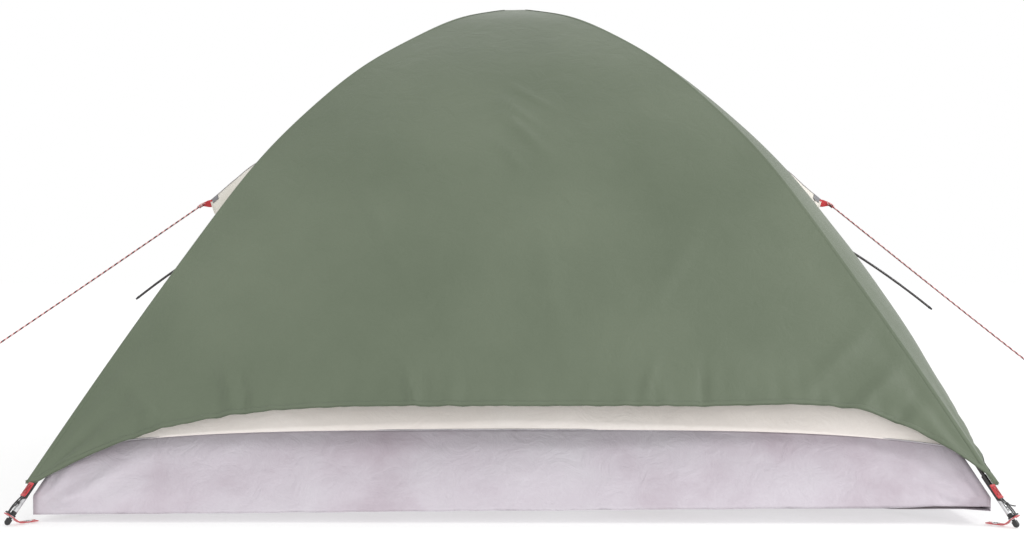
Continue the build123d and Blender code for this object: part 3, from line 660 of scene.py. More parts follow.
def arch_top(x, half, top, arch):
    """Height of an arched doorway's upper edge: a circle's arc over straight sides."""
    radius = (half * half + arch * arch) / (2 * arch)
    return top - radius + math.sqrt(max(0.0, radius * radius - x * x))


def fly_face_mesh(face):
    if face != "front":
        return face_columns(face, -CORNER_X, CORNER_X, 200, 120, lambda x: hem_share(x, face), fly_point,
                            FLY_FOOT)
    half = DOOR_HALF + DOOR_GAP

    def above_door(x):
        return share_at(arch_top(x, half, DOOR_TOP + DOOR_GAP, DOOR_ARCH), FLY_PEAK)
    return joined([face_columns(face, -CORNER_X, -half, 64, 110, hem_share, fly_point, FLY_FOOT),
                   face_columns(face, -half, half, 70, 60, above_door, fly_point, FLY_FOOT),
                   face_columns(face, half, CORNER_X, 64, 110, hem_share, fly_point, FLY_FOOT)])


for face in FACES:
    piece("fly_panel_" + face, fly_face_mesh(face), GREEN, "fly_" + face, weld=FINE_WELD,
          thick=(FLY_CLOTH, -1.0))


def face_tape(face, spots, width, height, point, foot):
    """A tape laid on a face along spots of (x, share), rounded up by a height."""
    points = []
    sides = []
    lifts = []
    for k, (x, share) in enumerate(spots):
        here = point(face, x, share)
        before = point(face, *spots[max(0, k - 1)])
        after = point(face, *spots[min(len(spots) - 1, k + 1)])
        step = 0.003
        side = point(face, x + step, max(share, abs(x + step) / foot)) - here
        down = point(face, x, share + step) - here
        normal = down.cross(side).normalized()
        if normal.dot(turned(face, (0, -0.5, 0.5))) < 0:
            normal = -normal
        points.append(here + normal * 0.0006)
        sides.append(normal.cross((after - before).normalized()).normalized())
        lifts.append(normal * height)
    verts = []
    uvs = []
    across = stops(0, 1, 4)
    for here, side, lift, far in zip(points, sides, lifts, distances(points)):
        verts += [here + side * ((v - 0.5) * width) + lift * math.sin(math.pi * v) for v in across]
        uvs += [(far, v * width) for v in across]
    return verts, grid_faces(len(points) - 1, 4), uvs


# hem binding on every face, broken at the doorway on the front
for face in FACES:
    spans = [(-CORNER_X, CORNER_X)]
    if face == "front":
        spans = [(-CORNER_X, -DOOR_HALF - DOOR_GAP), (DOOR_HALF + DOOR_GAP, CORNER_X)]
    parts = []
    for low, high in spans:
        spots = [(x, max(hem_share(x, face) - 0.0030, abs(x) / FLY_FOOT))
                 for x in stops(low, high, int((high - low) / 0.012))]
        parts.append(face_tape(face, spots, 0.009, 0.0005, fly_point, FLY_FOOT))
    piece("fly_hem_" + face, joined(parts), GREEN, thick=(0.0005, 0.0))

# felled seams over the four ridges: how far each thread lies from the middle, and how far it falls there
SEAM_THREADS = ((-0.0066, -0.0060), (-0.0045, -0.0036), (-0.0014, -0.0002),
                (0.0014, -0.0002), (0.0045, -0.0036), (0.0066, -0.0060))
for number, (face, way) in enumerate((("rear", -1), ("rear", 1), ("front", -1), ("front", 1))):
    shares = stops(0.03, CORNER_X / FLY_FOOT, 149)
    points = [fly_base(face, way * FLY_FOOT * share, share) for share in shares]
    last = len(points) - 1
    outer = turned(face, (way, -1, 0)).normalized()
    verts = []
    uvs = []
    for k, (here, far) in enumerate(zip(points, distances(points))):
        ahead = (points[min(k + 1, last)] - points[max(k - 1, 0)]).normalized()
        normal = outer - ahead * outer.dot(ahead)
        normal = (normal if normal.length > 1e-6 else Vector((0, 0, 1))).normalized()
        if normal.z < 0:
            normal = -normal
        side = ahead.cross(normal).normalized()
        # the two sides of the seam fall away with the faces that meet here
        for spread, drop in SEAM_THREADS:
            fall = drop * (0.12 + 0.88 * smooth_step(0.0, 0.35, k / last))
            verts.append(here + side * spread + normal * (fall + 0.0003))
            uvs.append((far, spread))
    faces = [(a, d, c, b) for a, b, c, d in grid_faces(last, len(SEAM_THREADS) - 1)]
    piece("fly_ridge_seam_%d" % (number + 1), (verts, faces, uvs), GREEN, weld=FINE_WELD,
          thick=(0.0006, 1.0))


# ---------- fly door, with its zip ----------
def face_patch(point, left, right, low, high, columns, rows):
    """A grid over part of the front: from x left to right and from the share low(x) up to high(x)."""
    def place(u, v):
        x = left + (right - left) * u
        return point("front", x, low(x) + (high(x) - low(x)) * v)
    return grid_mesh(columns, rows, place, lambda u, v: (left + (right - left) * u, v * 0.6))


def fly_door_high(x):
    return share_at(arch_top(x, DOOR_HALF, DOOR_TOP, DOOR_ARCH), FLY_PEAK)


door_shape = face_patch(fly_point, -DOOR_HALF, DOOR_HALF, hem_share, fly_door_high, 70, 64)
fly_door = piece("fly_door_panel", door_shape, GREEN, "fly_door", body=None, weld=FINE_WELD,
                 thick=(FLY_CLOTH, -1.0))
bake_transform(fly_door)


def door_outline(half, low, top, arch, peak, inset):
    """Spots of (x, share) up one side of a doorway, over its arch and down the other side."""
    reach = half + inset
    spots = []
    side_top = top - arch
    foot_share = low(reach)
    for k in range(31):
        height = peak * math.cos(math.pi * foot_share / 2)
        spots.append((reach, share_at(height + (side_top - height) * k / 30, peak)))
    for k in range(1, 60):
        x = reach * math.cos(math.pi * k / 60)
        spots.append((x, share_at(arch_top(x * half / reach, half, top + inset, arch), peak)))
    return spots + [(-x, share) for x, share in reversed(spots[:31])]


def zip_coil(name, spots, point):
    """The zip's coil: small turns set along its line."""
    line = [point("front", x, share) for x, share in spots]
    dense = []
    for a, b in zip(line, line[1:]):
        steps = max(1, int((b - a).length / 0.0022))
        dense += [a + (b - a) * k / steps for k in range(steps)]
    out = turned("front", (0, -0.80, 0.55))
    turns = [here + out * (0.0026 + 0.0004 * (k % 2)) for k, here in enumerate(dense)]
    piece(name, tube_mesh(turns, 0.0021, 8), ZIP_METAL)


zip_spots = door_outline(DOOR_HALF, hem_share, DOOR_TOP, DOOR_ARCH, FLY_PEAK, 0.010)
zip_spots = [(-x, share) for x, share in zip_spots]
tape = face_tape("front", zip_spots, 0.022, 0.0012, fly_point, FLY_FOOT)
piece("fly_zip_tape", tape, TAPE, thick=(FLY_CLOTH, 0.0))
zip_coil("fly_zip_coil", zip_spots, fly_point)


# ---------- inner tent ----------
def seam_height(u):
    """Height of the tub's upper seam, which dips towards the corners."""
    return TUB_SEAM + 0.003 - 0.028 * abs(u) ** 5 - 0.004 * max(0.0, -u)


def corner_half(z):
    """Half width at a corner of the inner tent, which its clips hold just inside the poles."""
    return POLE_FOOT * share_at(z, POLE_PEAK) - CLIP_DROP


def inner_point(face, x, share):
    z = INNER_PEAK * math.cos(math.pi * share / 2)
    half = INNER_FOOT * share
    pull = (corner_half(z) - half) * (1 - smooth_step(TUB_SEAM, 0.42, z))
    edge = min(1.0, abs(x) / half) if half > 1e-6 else 1.0
    base = vault_point(face, x, share, INNER_FOOT, INNER_PEAK, INNER_BOW, 2.0)
    base += turned(face, (math.copysign(pull * edge ** 3, x), -pull * edge ** 3, 0))
    if z < TUB_SEAM + 0.12:
        base.z -= (TUB_SEAM - seam_height(x / half)) * (1 - (z - TUB_SEAM) / 0.12)
    out = turned(face, (0, -1, 0.4)).normalized()
    ridge = smooth_step(0.0, 0.06, share - abs(x) / INNER_FOOT)
    ripple = noise.noise(Vector((x * 5, z * 4, FACES[face]))) * 0.005
    ripple += noise.noise(Vector((x * 17, z * 7, FACES[face] + 3))) * 0.0016
    return base + out * (ripple * ridge * smooth_step(TUB_SEAM, TUB_SEAM + 0.05, z))


SEAM_SHARE = share_at(TUB_SEAM, INNER_PEAK)
SILL_SHARE = share_at(INNER_DOOR_LOW - DOOR_GAP, INNER_PEAK)
WINDOW_INSET = 0.045        # width of the cloth round the door's mesh window
WINDOW_HALF = INNER_DOOR_HALF - WINDOW_INSET


def seam_share(x):
    return SEAM_SHARE


def above_inner_door(x):
    top = arch_top(x, INNER_DOOR_HALF + DOOR_GAP, INNER_DOOR_TOP + DOOR_GAP, DOOR_ARCH)
    return share_at(top, INNER_PEAK)


def inner_face_mesh(face):
    wide = INNER_FOOT * SEAM_SHARE
    if face != "front":
        return face_columns(face, -wide, wide, 110, 76, seam_share, inner_point, INNER_FOOT)
    half = INNER_DOOR_HALF + DOOR_GAP
    return joined([face_columns(face, -wide, -half, 50, 70, seam_share, inner_point, INNER_FOOT),
                   face_columns(face, -half, half, 50, 40, above_inner_door, inner_point, INNER_FOOT),
                   face_columns(face, half, wide, 50, 70, seam_share, inner_point, INNER_FOOT),
                   grid_mesh(50, 2, lambda u, v: inner_point(face, -half + 2 * half * u,
                                                             SEAM_SHARE + (SILL_SHARE - SEAM_SHARE) * v))])


for face in FACES:
    piece("inner_wall_" + face, inner_face_mesh(face), CREAM, "inner_" + face, weld=FINE_WELD,
          thick=(INNER_CLOTH, -1.0))


# the inner door: cloth round a mesh window, each edge as a share at a distance from the middle
def inner_low(x):
    return share_at(INNER_DOOR_LOW, INNER_PEAK)


def window_low(x):
    return share_at(MESH_LOW, INNER_PEAK)


def window_high(x):
    return share_at(arch_top(x, WINDOW_HALF, INNER_DOOR_TOP - WINDOW_INSET, DOOR_ARCH - 0.012), INNER_PEAK)


def door_high(x):
    return share_at(arch_top(x, INNER_DOOR_HALF, INNER_DOOR_TOP, DOOR_ARCH), INNER_PEAK)


door_cloth = joined([face_patch(inner_point, -INNER_DOOR_HALF, -WINDOW_HALF, inner_low, door_high, 8, 50),
                     face_patch(inner_point, WINDOW_HALF, INNER_DOOR_HALF, inner_low, door_high, 8, 50),
                     face_patch(inner_point, -WINDOW_HALF, WINDOW_HALF, inner_low, window_low, 50, 26),
                     face_patch(inner_point, -WINDOW_HALF, WINDOW_HALF, window_high, door_high, 50, 6)])
piece("inner_door_cloth", door_cloth, CREAM, "inner_door", body="inner_door", weld=FINE_WELD,
      thick=(INNER_CLOTH, -1.0))
window = face_patch(inner_point, -WINDOW_HALF, WINDOW_HALF, window_low, window_high, 40, 24)
piece("inner_door_net", window, NET, "inner_door_mesh", body="inner_door")
zip_spots = door_outline(INNER_DOOR_HALF, inner_low, INNER_DOOR_TOP, DOOR_ARCH, INNER_PEAK, 0.008)
tape = face_tape("front", zip_spots, 0.018, 0.0010, inner_point, INNER_FOOT)
piece("inner_zip_tape", tape, TAPE, thick=(FLY_CLOTH, 0.0))
zip_coil("inner_zip_coil", zip_spots, inner_point)


# ---------- tub floor ----------
TUB_EDGE = 1.016            # half width of the tub at its lower edge
TUB_REST = 0.80             # half width of the part that lies on the ground
TUB_TURN = 0.25             # share of the floor sheet that rises from the ground to the edge


def edge_height(face, x):
    """The tub's lower edge is stretched between its corners, just clear of the ground."""
    height = 0.028
    if face == "rear":
        height = 0.027 + 0.0105 * x
    height += 0.0025 * noise.noise(Vector((x * 6, FACES[face], 1)))
    return height + 0.0016 * noise.noise(Vector((x * 23, FACES[face], 5)))


def tub_wall_point(face, u, v):
    """u from -1 to 1 along a side; v from 0 at the seam to 1 at the lower edge."""
    low = edge_height(face, u * TUB_EDGE)
    seam = seam_height(u)
    z = seam + (low - seam) * v
    middle = INNER_FOOT * SEAM_SHARE
    middle += INNER_BOW * bulge(SEAM_SHARE) * (1 - v) + (TUB_EDGE - middle) * v
    corner = min(TUB_EDGE, corner_half(z))
    x = u * corner
    out = middle + (corner - middle) * abs(u) ** 3
    fade = smooth_step(0, 0.06, 1 - abs(u)) * math.sin(math.pi * (0.03 + 0.97 * v)) ** 0.6
    fold = noise.noise(Vector((x * 3.2, z * 7, FACES[face] + 11))) * 0.012
    fold += noise.noise(Vector((x * 11 + z * 9, z * 16 - x * 3, FACES[face] + 13))) * 0.0040
    for way in (-1, 1):
        away = TUB_EDGE - way * x
        rise = z - 0.015
        reach = math.hypot(away, rise)
        angle = math.atan2(rise, away + 1e-6)
        turn = angle * 15 + 2.4 * noise.noise(Vector((reach * 6, angle * 2.5, FACES[face] + way)))
        fold += math.sin(turn) * 0.0085 * math.exp(-reach / 0.15) * smooth_step(0.0, 0.06, reach)
    return turned(face, (x, -(out + fold * fade), z))


def tub_floor_point(face, u, v):
    """From the lower edge in to where the floor lies on the ground, then to the middle."""
    run = smooth_step(0, TUB_TURN, v)
    half = TUB_EDGE + (TUB_REST - TUB_EDGE) * min(1.0, v / TUB_TURN)
    if v > TUB_TURN:
        half = TUB_REST * (1 - (v - TUB_TURN) / (1 - TUB_TURN))
    z = edge_height(face, u * TUB_EDGE) * (1 - run) + 0.0006 * run
    return turned(face, (u * half, -half, z))


parts = []
piping = []
for face in FACES:
    parts.append(grid_mesh(170, 26, lambda u, v: tub_wall_point(face, 2 * u - 1, v),
                           lambda u, v: (2 * u - 1, v * 0.17)))
    parts.append(grid_mesh(60, 20, lambda u, v: tub_floor_point(face, 2 * u - 1, v),
                           lambda u, v: (2 * u - 1, v)))
    seam = [tub_wall_point(face, u, 0.0) + turned(face, (0, -0.0012, 0)) for u in stops(-1, 1, 160)]
    piping.append(tube_mesh(seam, 0.0016, 8))
piece("tub_sheet", joined(parts), TUB, "tub_floor", weld=WELD, thick=(INNER_CLOTH, 0.0))
piece("tub_seam_piping", joined(piping), PIPING)


# ---------- vents and their hoods ----------
VENT_HALF = 0.150
VENT_LOW = 0.640
VENT_TOP = 0.830
WEB_WIDTH = 0.0200


def vent_cut(obj, keep_window):
    """Cuts a vent window out of a side panel, or keeps only the window."""
    work = bmesh.new()
    work.from_mesh(obj.data)
    slope = Vector((0, VENT_TOP - VENT_LOW, VENT_HALF)).normalized()
    planes = ((Vector((0, 0, VENT_LOW)), Vector((0, 0, -1))), (Vector((0, 0, VENT_TOP)), slope),
              (Vector((0, 0, VENT_TOP)), Vector((0, -slope.y, slope.z))))
    for spot, normal in planes:
        everything = work.verts[:] + work.edges[:] + work.faces[:]
        bmesh.ops.bisect_plane(work, geom=everything, plane_co=spot, plane_no=normal, dist=1e-6)
    gone = []
    for face in work.faces:
        middle = face.calc_center_median()
        inside = all((middle - spot).dot(normal) < 0 for spot, normal in planes)
        if inside != keep_window:
            gone.append(face)
    bmesh.ops.delete(work, geom=gone, context="FACES")
    work.to_mesh(obj.data)
    work.free()


def panel_spot(side, y, z, lift=0.0):
    """A point of a left or right fly panel at y and height z."""
    x = -y if side == "left" else y
    return fly_point(side, x, share_at(z, FLY_PEAK), lift)


def hood_rim(way, u):
    """The hood's free edge: u is -1 and 1 where it meets the panel and 0 at the tip."""
    side = "left" if way < 0 else "right"
    base = panel_spot(side, math.copysign(HOOD_BASE[0], u), HOOD_BASE[1])
    tip = Vector((way * HOOD_TIP.x, 0, HOOD_TIP.z))
    corner = Vector((way * (HOOD_TIP.x - 0.016), math.copysign(0.020, u), HOOD_TIP.z - 0.036))
    t = abs(u)
    if t < 0.14:
        return tip.lerp(corner, smooth_step(0, 0.14, t) * 0.6 + t / 0.14 * 0.4)
    s = (t - 0.14) / 0.86
    droop = Vector((0, 0, -0.012 * math.sin(math.pi * s)))
    return corner.lerp(base, s) + droop


def hood_root(way, u):
    """Where the hood is sewn to the panel."""
    side = "left" if way < 0 else "right"
    t = abs(u)
    y = math.copysign(HOOD_BASE[0] * t, u)
    z = HOOD_ROOT_Z + (HOOD_BASE[1] - HOOD_ROOT_Z) * t
    return panel_spot(side, y, z, 0.0015)


def hood_point(way, u, v):
    """v from 0 at the rim to 1 at the sewn line."""
    here = hood_rim(way, u).lerp(hood_root(way, u), v)
    belly = math.sin(math.pi * v) * math.sin(math.pi * min(1, abs(u)))
    ripple = noise.noise(Vector((u * 3, v * 5, way * 2.0))) * 0.004 * math.sin(math.pi * v)
    crest = 0.020 * math.sin(math.pi * v) * (1 - smooth_step(0.0, 0.6, abs(u)))
    return here + Vector((way * (ripple - 0.004 * belly), 0, ripple - 0.006 * belly + crest))


def vent_outline():
    """The vent's edge as (y, z): up one slope, down the other and along the sill."""
    rise = VENT_TOP - VENT_LOW
    return ([(VENT_HALF * (1 - t), VENT_LOW + rise * t) for t in stops(0, 1, 20)]
            + [(-VENT_HALF * t, VENT_TOP - rise * t) for t in stops(0, 1, 20)[1:]]
            + [(y, VENT_LOW) for y in stops(-VENT_HALF, VENT_HALF, 20)[1:-1]])


for side, way in (("left", -1), ("right", 1)):
    vent_cut(bpy.data.objects["fly_panel_" + side], False)
    vent_net = mesh_object("vent_net_" + side, fly_face_mesh(side), NET)
    tidy_mesh(vent_net, FINE_WELD)
    vent_cut(vent_net, True)
    attach(vent_net, "vent_mesh_" + side)

    window = [panel_spot(side, y, z, 0.0012) for y, z in vent_outline()]
    trim = tube_mesh(window, 0.0045, 8, closed=True, flat=0.35)
    piece("vent_binding_" + side, trim, GREEN_EDGE)
    hood = grid_mesh(120, 40, lambda u, v: hood_point(way, 2 * u - 1, v * 0.995),
                     lambda u, v: (u * 0.5, v * 0.3))
    piece("vent_hood_cloth_" + side, hood, HOOD, "vent_hood_" + side, weld=WELD,
          thick=(0.0010, 0.0))
    rim = [hood_point(way, u, 0.0) for u in stops(-1, 1, 120)]
    piece("hood_binding_" + side, tube_mesh(rim, 0.0020, 10, flat=0.7), HOOD)

    # the stiffened patch near the tip, on both slopes, and the felled seam on the ridge
    patch = []
    for half in (-1, 1):
        raised = Vector((way * 0.0010, half * 0.0008, 0.0012))
        patch.append(grid_mesh(14, 12, lambda u, v: raised + hood_point(way, half * (0.010 + 0.045 * u),
                                                                        0.015 + 0.05 * v)))
    piece("hood_patch_" + side, joined(patch), GREY_PATCH, weld=FINE_WELD, thick=(0.0008, 0.0))
    ridge = [hood_point(way, 0.0, k / 40) + Vector((0, 0, 0.0008)) for k in range(40)]
    piece("hood_seam_" + side, tube_mesh(ridge, 0.0026, 8, flat=0.45), PIPING)

    # the webbing loop at the tip: out on one side, round the fold and back on the other
    root = Vector((way * LOOP_ROOT.x, 0, LOOP_ROOT.z))
    run = Vector((way * LOOP_FOLD.x, 0, LOOP_FOLD.z)) - root
    gap = 0.0026
    spots = [(k / 12, gap) for k in range(12)]
    spots += [(1 + 0.10 * math.sin(a), gap * math.cos(a)) for a in stops(0, math.pi, 8)]
    spots += [(1 - k / 12, -gap) for k in range(1, 13)]
    path = [root + run * t + Vector((0, y, 0)) for t, y in spots]
    taper = [1.0 - 0.55 * smooth_step(0.25, 1.05, t) for t, y in spots]
    width_way = Vector((run.z, 0, -run.x)).normalized()
    piece("guy_loop_web_" + side, strip_mesh(path, [width_way] * len(path), WEB_WIDTH, 0.0017, taper=taper),
          RED_WEB, "hood_loop_" + side)


# ---------- corners: straps, tabs, elastics ----------
FOOT_OUT = 1.49406          # middle of a pole's foot, from the origin along a diagonal
FOOT_UP = 0.0065
LEAN = Vector((-0.61306, 0.79003))      # the pole's way up, in its own upright plane
OUTER = Vector((0.79003, 0.61306))      # square to it, outwards
STRAP_BEND = 1.4693
TAB_ASIDE = 0.014           # the tabs hang beside the pole, towards the middle of the side
STRAP_START = 1.4289
STRAP_END = 1.4969
EYELETS = (1.44834, 1.48606)
CORNERS = ((1, 1), (1, -1), (-1, 1), (-1, -1))
STRAP_UP = 0.003            # middle of a strap that lies under the tub
EYELET_UP = 0.01677
EYELET_HOLE = 0.0083
TAB_OUT = 0.0118            # of a tab, an elastic and the stitches: how far outwards of the pole's axis
ELASTIC_OUT = 0.0112
STITCH_OUT = 0.0134
STITCH_HALF = 0.0075
ELASTIC_LOW = 0.0215        # the elastic loop's two ends, along the pole from its foot
ELASTIC_HIGH = 0.0600
ELASTIC_SPREAD = 0.0050


def corner_spot(corner, out, up, across=0.0):
    """A point of a corner's upright plane, or beside it."""
    root = math.sqrt(0.5)
    x, y = corner[0] * root, corner[1] * root
    return Vector((x * out - y * across, y * out + x * across, up))


def end_spot(corner, along, outwards, across=0.0):
    """A point beside a pole's end: along the pole from its foot and outwards from its axis."""
    flat = Vector((FOOT_OUT, FOOT_UP)) + LEAN * along + OUTER * outwards
    return corner_spot(corner, flat.x, flat.y, across)


def across_of(corner):
    return Vector((-corner[1], corner[0], 0)).normalized()


def bored(obj, holes):
    """Cuts round holes: each is a middle, an axis and a radius."""
    for middle, axis, radius in holes:
        verts, faces, _ = tube_mesh([middle - axis * 0.02, middle + axis * 0.02], radius, 32)
        cutter = mesh_object("cutter", (verts, faces, None), RED_WEB)
        cut = obj.modifiers.new("hole", "BOOLEAN")
        cut.operation = "DIFFERENCE"
        cut.solver = "EXACT"
        cut.object = cutter
        bpy.context.view_layer.update()
        shape = bpy.data.meshes.new_from_object(obj.evaluated_get(bpy.context.evaluated_depsgraph_get()))
        obj.modifiers.clear()
        obj.data = shape
        bpy.data.objects.remove(cutter)


def stitch_lines(corner, along_range, across_range, outwards):
    """Box stitching with a cross, as small raised stitches."""
    a0, a1 = along_range
    b0, b1 = across_range
    lines = (((a0, b0), (a1, b0)), ((a1, b0), (a1, b1)), ((a1, b1), (a0, b1)), ((a0, b1), (a0, b0)),
             ((a0, b0), (a1, b1)), ((a1, b0), (a0, b1)))
    parts = []
    for start, stop in lines:
        length = math.hypot(stop[0] - start[0], stop[1] - start[1])
        count = max(2, int(length / 0.0030))
        for k in range(count):
            s0 = (k + 0.12) / count
            s1 = (k + 0.82) / count
            spots = [end_spot(corner, start[0] + (stop[0] - start[0]) * s, outwards + lift,
                              start[1] + (stop[1] - start[1]) * s)
                     for s, lift in ((s0, -0.0002), ((s0 + s1) / 2, 0.0004), (s1, -0.0002))]
            parts.append(tube_mesh(spots, 0.00045, 5))
    return joined(parts)


STITCH = plain_material("red_thread", (0.20, 0.004, 0.008), (0.34, 0.010, 0.016), 0.6, scale=300.0)



def corner_strap(corner, number):
    """A strap that lies flat under the tub and bends up along the pole's lean, with its two holes."""
    path = [corner_spot(corner, STRAP_START + 0.0005, STRAP_UP)]
    path += [corner_spot(corner, out, STRAP_UP) for out in stops(STRAP_START, STRAP_BEND, 6)[1:-1]]
    slope = Vector((EYELETS[1], EYELET_UP)) - Vector((STRAP_BEND, STRAP_UP))
    for t in stops(0, 1, 9):
        out = STRAP_BEND + (STRAP_END - STRAP_BEND) * t
        up = STRAP_UP + slope.y / slope.x * (out - STRAP_BEND)
        path.append(corner_spot(corner, out, up + 0.0006 * math.exp(-t * 8)))
    shape = strip_mesh(path, [across_of(corner)] * len(path), WEB_WIDTH, 0.0019)
    strap = mesh_object("corner_strap_%d" % number, shape, RED_WEB, smooth=False)
    lean = corner_spot(corner, LEAN.x, LEAN.y)
    bored(strap, ((corner_spot(corner, EYELETS[0], STRAP_UP), Vector((0, 0, 1)), EYELET_HOLE),
                  (corner_spot(corner, EYELETS[1], EYELET_UP), lean, EYELET_HOLE)))
    return strap


def elastic_loop(corner, aside):
    """One loop of elastic from the tab's fold to the hook, knotted, with a free tail."""
    low, high, spread = ELASTIC_LOW, ELASTIC_HIGH, ELASTIC_SPREAD

    def strand(along, out, across):
        lean_over = smooth_step(low, high, along)
        return end_spot(corner, along, out, across * (0.6 + 0.4 * lean_over) + aside * lean_over)
    run = high - low
    fold = stops(0, math.pi, 8)[1:-1]
    ring = [strand(low + run * t, ELASTIC_OUT + 0.0010 * math.sin(3 * t), spread) for t in stops(0, 1, 15)]
    ring += [strand(high + 0.0035 * math.sin(a), ELASTIC_OUT, spread * math.cos(a)) for a in fold]
    ring += [strand(high - run * t, ELASTIC_OUT + 0.0012 * math.sin(4 * t), -spread) for t in stops(0, 1, 15)]
    ring += [strand(low - 0.0035 * math.sin(a), ELASTIC_OUT, -spread * math.cos(a)) for a in fold]
    knot = [strand(0.040 + 0.006 * t, ELASTIC_OUT + 0.0026 * math.sin(5 * math.pi * t),
                   spread + 0.0026 * math.cos(5 * math.pi * t)) for t in stops(0, 1, 49)]
    tail = [strand(0.042 - 0.0120 * t + 0.004 * t * t, 0.0120 + 0.004 * t, spread + 0.002 + 0.016 * t)
            for t in stops(0, 1, 10)]
    return [tube_mesh(ring, 0.0015, 8, closed=True), tube_mesh(knot, 0.0014, 8), tube_mesh(tail, 0.0013, 8)]


straps = []
tabs = []
stitches = []
elastics = []
for number, corner in enumerate(CORNERS):
    straps.append(corner_strap(corner, number + 1))
    # a folded tab at the hem's corner, sewn flat, with the elastic through its fold
    aside = TAB_ASIDE * corner[0] * corner[1]
    path = [end_spot(corner, 0.0590 + 0.033 * k / 14, TAB_OUT - 0.0006 * math.sin(math.pi * k / 14) ** 2
                     + 0.0010 * math.exp(-k), aside) for k in range(15)]
    tabs.append(strip_mesh(path, [across_of(corner)] * len(path), WEB_WIDTH, 0.0028))
    width = (aside - STITCH_HALF, aside + STITCH_HALF)
    stitches.append(stitch_lines(corner, (0.066, 0.086), width, STITCH_OUT))
    elastics += elastic_loop(corner, aside)

work = bmesh.new()
for strap in straps:
    work.from_mesh(strap.data)
    bpy.data.objects.remove(strap)
merged = bpy.data.meshes.new("corner_straps")
work.to_mesh(merged)
work.free()
merged.materials.append(RED_WEB)
attach(link(bpy.data.objects.new("corner_strap_webs", merged)), "corner_straps")
piece("fly_tab_webs", joined(tabs), RED_WEB, "fly_tabs")
piece("fly_tab_stitches", joined(stitches), STITCH)
piece("corner_elastic_loops", joined(elastics), ELASTIC, "corner_elastics")


# ---------- porch canopy ----------
SLEEVE_RADIUS = 0.0085
CANOPY_ROOT = (0.56, 0.55)   # where the free side edge leaves the flysheet: out, forward
CANOPY_FRONT = 0.88


def canopy_inner_y(x):
    """Where the canopy starts: on the front panel, or along its free side edge."""
    if abs(x) <= CANOPY_ROOT[0]:
        share = share_at(brow_height(x) - 0.002, FLY_PEAK)
        half = FLY_FOOT * share
        if abs(x) < half:
            return half + SIDE_BOW["front"] * bulge(share) * (1 - (x / half) ** 2) + 0.001
        return abs(x)
    reach = SLEEVE_REACH + (BROW_MIDDLE if x > 0 else -BROW_MIDDLE)
    t = (abs(x) - CANOPY_ROOT[0]) / (reach - CANOPY_ROOT[0])
    return CANOPY_ROOT[1] + (CANOPY_FRONT - CANOPY_ROOT[1]) * t + 0.02 * math.sin(math.pi * t)


def canopy_point(u, v):
    x = BROW_MIDDLE + SLEEVE_REACH * (2 * u - 1)
    start = canopy_inner_y(x)
    y = start + (BROW_Y - 0.0075 - start) * v
    sag = math.sin(math.pi * v) * (0.006 + 0.003 * noise.noise(Vector((x * 5, y * 5, 7))))
    ripple = 0.0030 * noise.noise(Vector((x * 12, y * 3, 2))) * math.sin(math.pi * v)
    return Vector((x, y, brow_height(x) - sag + ripple))


canopy = grid_mesh(160, 30, canopy_point, lambda u, v: (u * 2.3, v * 0.4))
piece("porch_canopy_cloth", canopy, GREEN, "porch_canopy", weld=WELD, thick=(FLY_CLOTH, 0.0))
sleeve_ends = (BROW_MIDDLE - SLEEVE_REACH, BROW_MIDDLE + SLEEVE_REACH)
sleeve = tube_mesh([Vector((x, BROW_Y, brow_height(x))) for x in stops(*sleeve_ends, 120)],
                   lambda t: SLEEVE_RADIUS - 0.0008 + 0.0005 * math.sin(t * 400), 20, caps=False)
piece("porch_sleeve", sleeve, GREEN_EDGE, thick=(FLY_CLOTH, -1.0))


# ---------- lantern loop ----------
LANTERN_PIVOT = 1.160
LANTERN_GAP = 0.0011
web_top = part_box("lantern_loop")[1][2] - 0.001
path = [Vector((LANTERN_GAP, 0, z)) for z in stops(web_top, LANTERN_PIVOT - 0.001, 8)]
path += [Vector((LANTERN_GAP * math.cos(a), 0, LANTERN_PIVOT - 0.0035 * math.sin(a)))
         for a in stops(0, math.pi, 8)[1:-1]]
path += [Vector((-LANTERN_GAP, 0, z)) for z in stops(LANTERN_PIVOT, web_top, 8)]
piece("lantern_web", strip_mesh(path, [Vector((0, 1, 0))] * len(path), 0.014, 0.0012), RED_WEB,
      "lantern_loop")


# ---------- CAD parts that keep their shape ----------
TUBE_BARE = 0.052           # an end tube is bare metal up to this height and black above it


def end_tube_material():
    mat, tree, shader = material("end_tube", 0.28)
    where = coordinates(tree)
    grain = noise_map(tree, where, 140.0, Detail=5.0)
    height = add_node(tree, "ShaderNodeSeparateXYZ", {"Vector": where}).outputs["Z"]
    bare = map_range(tree, height, 1.0, 0.0, TUBE_BARE, TUBE_BARE + 0.0008)
    metal = ramp(tree, grain, ((0.3, (0.46, 0.46, 0.47)), (0.7, (0.72, 0.72, 0.73))))
    black = ramp(tree, grain, ((0.3, (0.012, 0.010, 0.010)), (0.7, (0.030, 0.026, 0.026))))
    connect(tree, shader, Base_Color=mix(tree, bare, black, metal), Metallic=bare,
            Normal=bump(tree, grain, 0.3, 0.0001))
    return mat


def refinish(obj, mat):
    obj.data.materials.clear()
    obj.data.materials.append(mat)


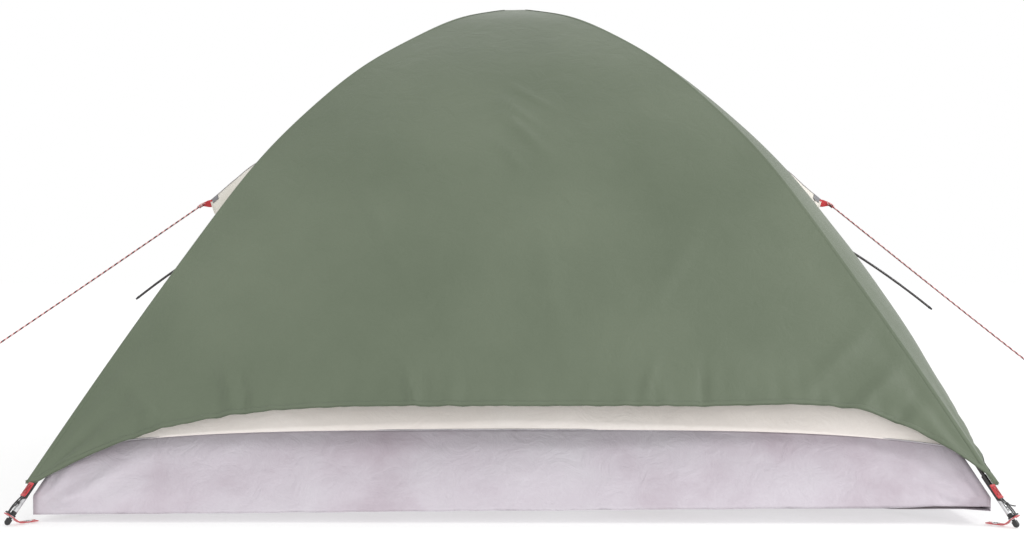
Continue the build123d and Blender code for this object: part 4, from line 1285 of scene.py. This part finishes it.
FINISHES = {"fibreglass": ROD, "steel": STEEL, "zip_metal": ZIP_METAL, "black_plastic": BLACK_PLASTIC}
slots = {row["node"]: row["material_slot"] for row in frame["record"]["subparts"]}
for node, obj in frame["nodes"].items():
    if slots[node] in FINISHES:
        refinish(obj, FINISHES[slots[node]])
refinish(frame["nodes"]["pole_end_tubes"], end_tube_material())


for face in FACES:
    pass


# ---------- floor and light ----------
mat, tree, shader = material("studio_floor", 0.9)
from_middle = add_node(tree, "ShaderNodeVectorMath", {0: coordinates(tree)}, operation="LENGTH")
from_middle = from_middle.outputs["Value"]
FLOOR_NEAR, FLOOR_FAR = 1.6, 5.0        # the floor fades to plain white between these distances
shade = map_range(tree, from_middle, 0.50, 0.0, FLOOR_NEAR, FLOOR_FAR)
glow = map_range(tree, from_middle, 0.50, 1.0, FLOOR_NEAR, FLOOR_FAR)
grey = add_node(tree, "ShaderNodeCombineColor", {0: shade, 1: shade, 2: shade}).outputs[0]
connect(tree, shader, Base_Color=grey, Emission_Strength=glow)
shader.inputs["Emission Color"].default_value = (1, 1, 1, 1)
ground = grid_mesh(2, 2, lambda u, v: Vector((80 * u - 40, 80 * v - 40, -0.0012)))
mesh_object("studio_ground", ground, mat, smooth=False)

world = bpy.data.worlds.new("studio")
bpy.context.scene.world = world
world.use_nodes = True
world.node_tree.nodes["Background"].inputs["Color"].default_value = (1, 1, 1, 1)
world.node_tree.nodes["Background"].inputs["Strength"].default_value = 1.0


def area_light(name, place, aim, size, power):
    data = bpy.data.lights.new(name, "AREA")
    data.energy = power
    data.size = size
    lamp = link(bpy.data.objects.new(name, data))
    lamp.location = place
    lamp.rotation_euler = (Vector(aim) - Vector(place)).to_track_quat("-Z", "Y").to_euler()


area_light("key", (4.8, -2.6, 3.4), (0, 0, 0.5), 1.0, 110)
area_light("front", (-0.4, -5.2, 0.5), (0, -1, 0.2), 2.4, 45)

scene = bpy.context.scene
scene.view_settings.view_transform = "Standard"
scene.view_settings.look = "None"
scene.view_settings.exposure = 0
scene.view_settings.gamma = 1
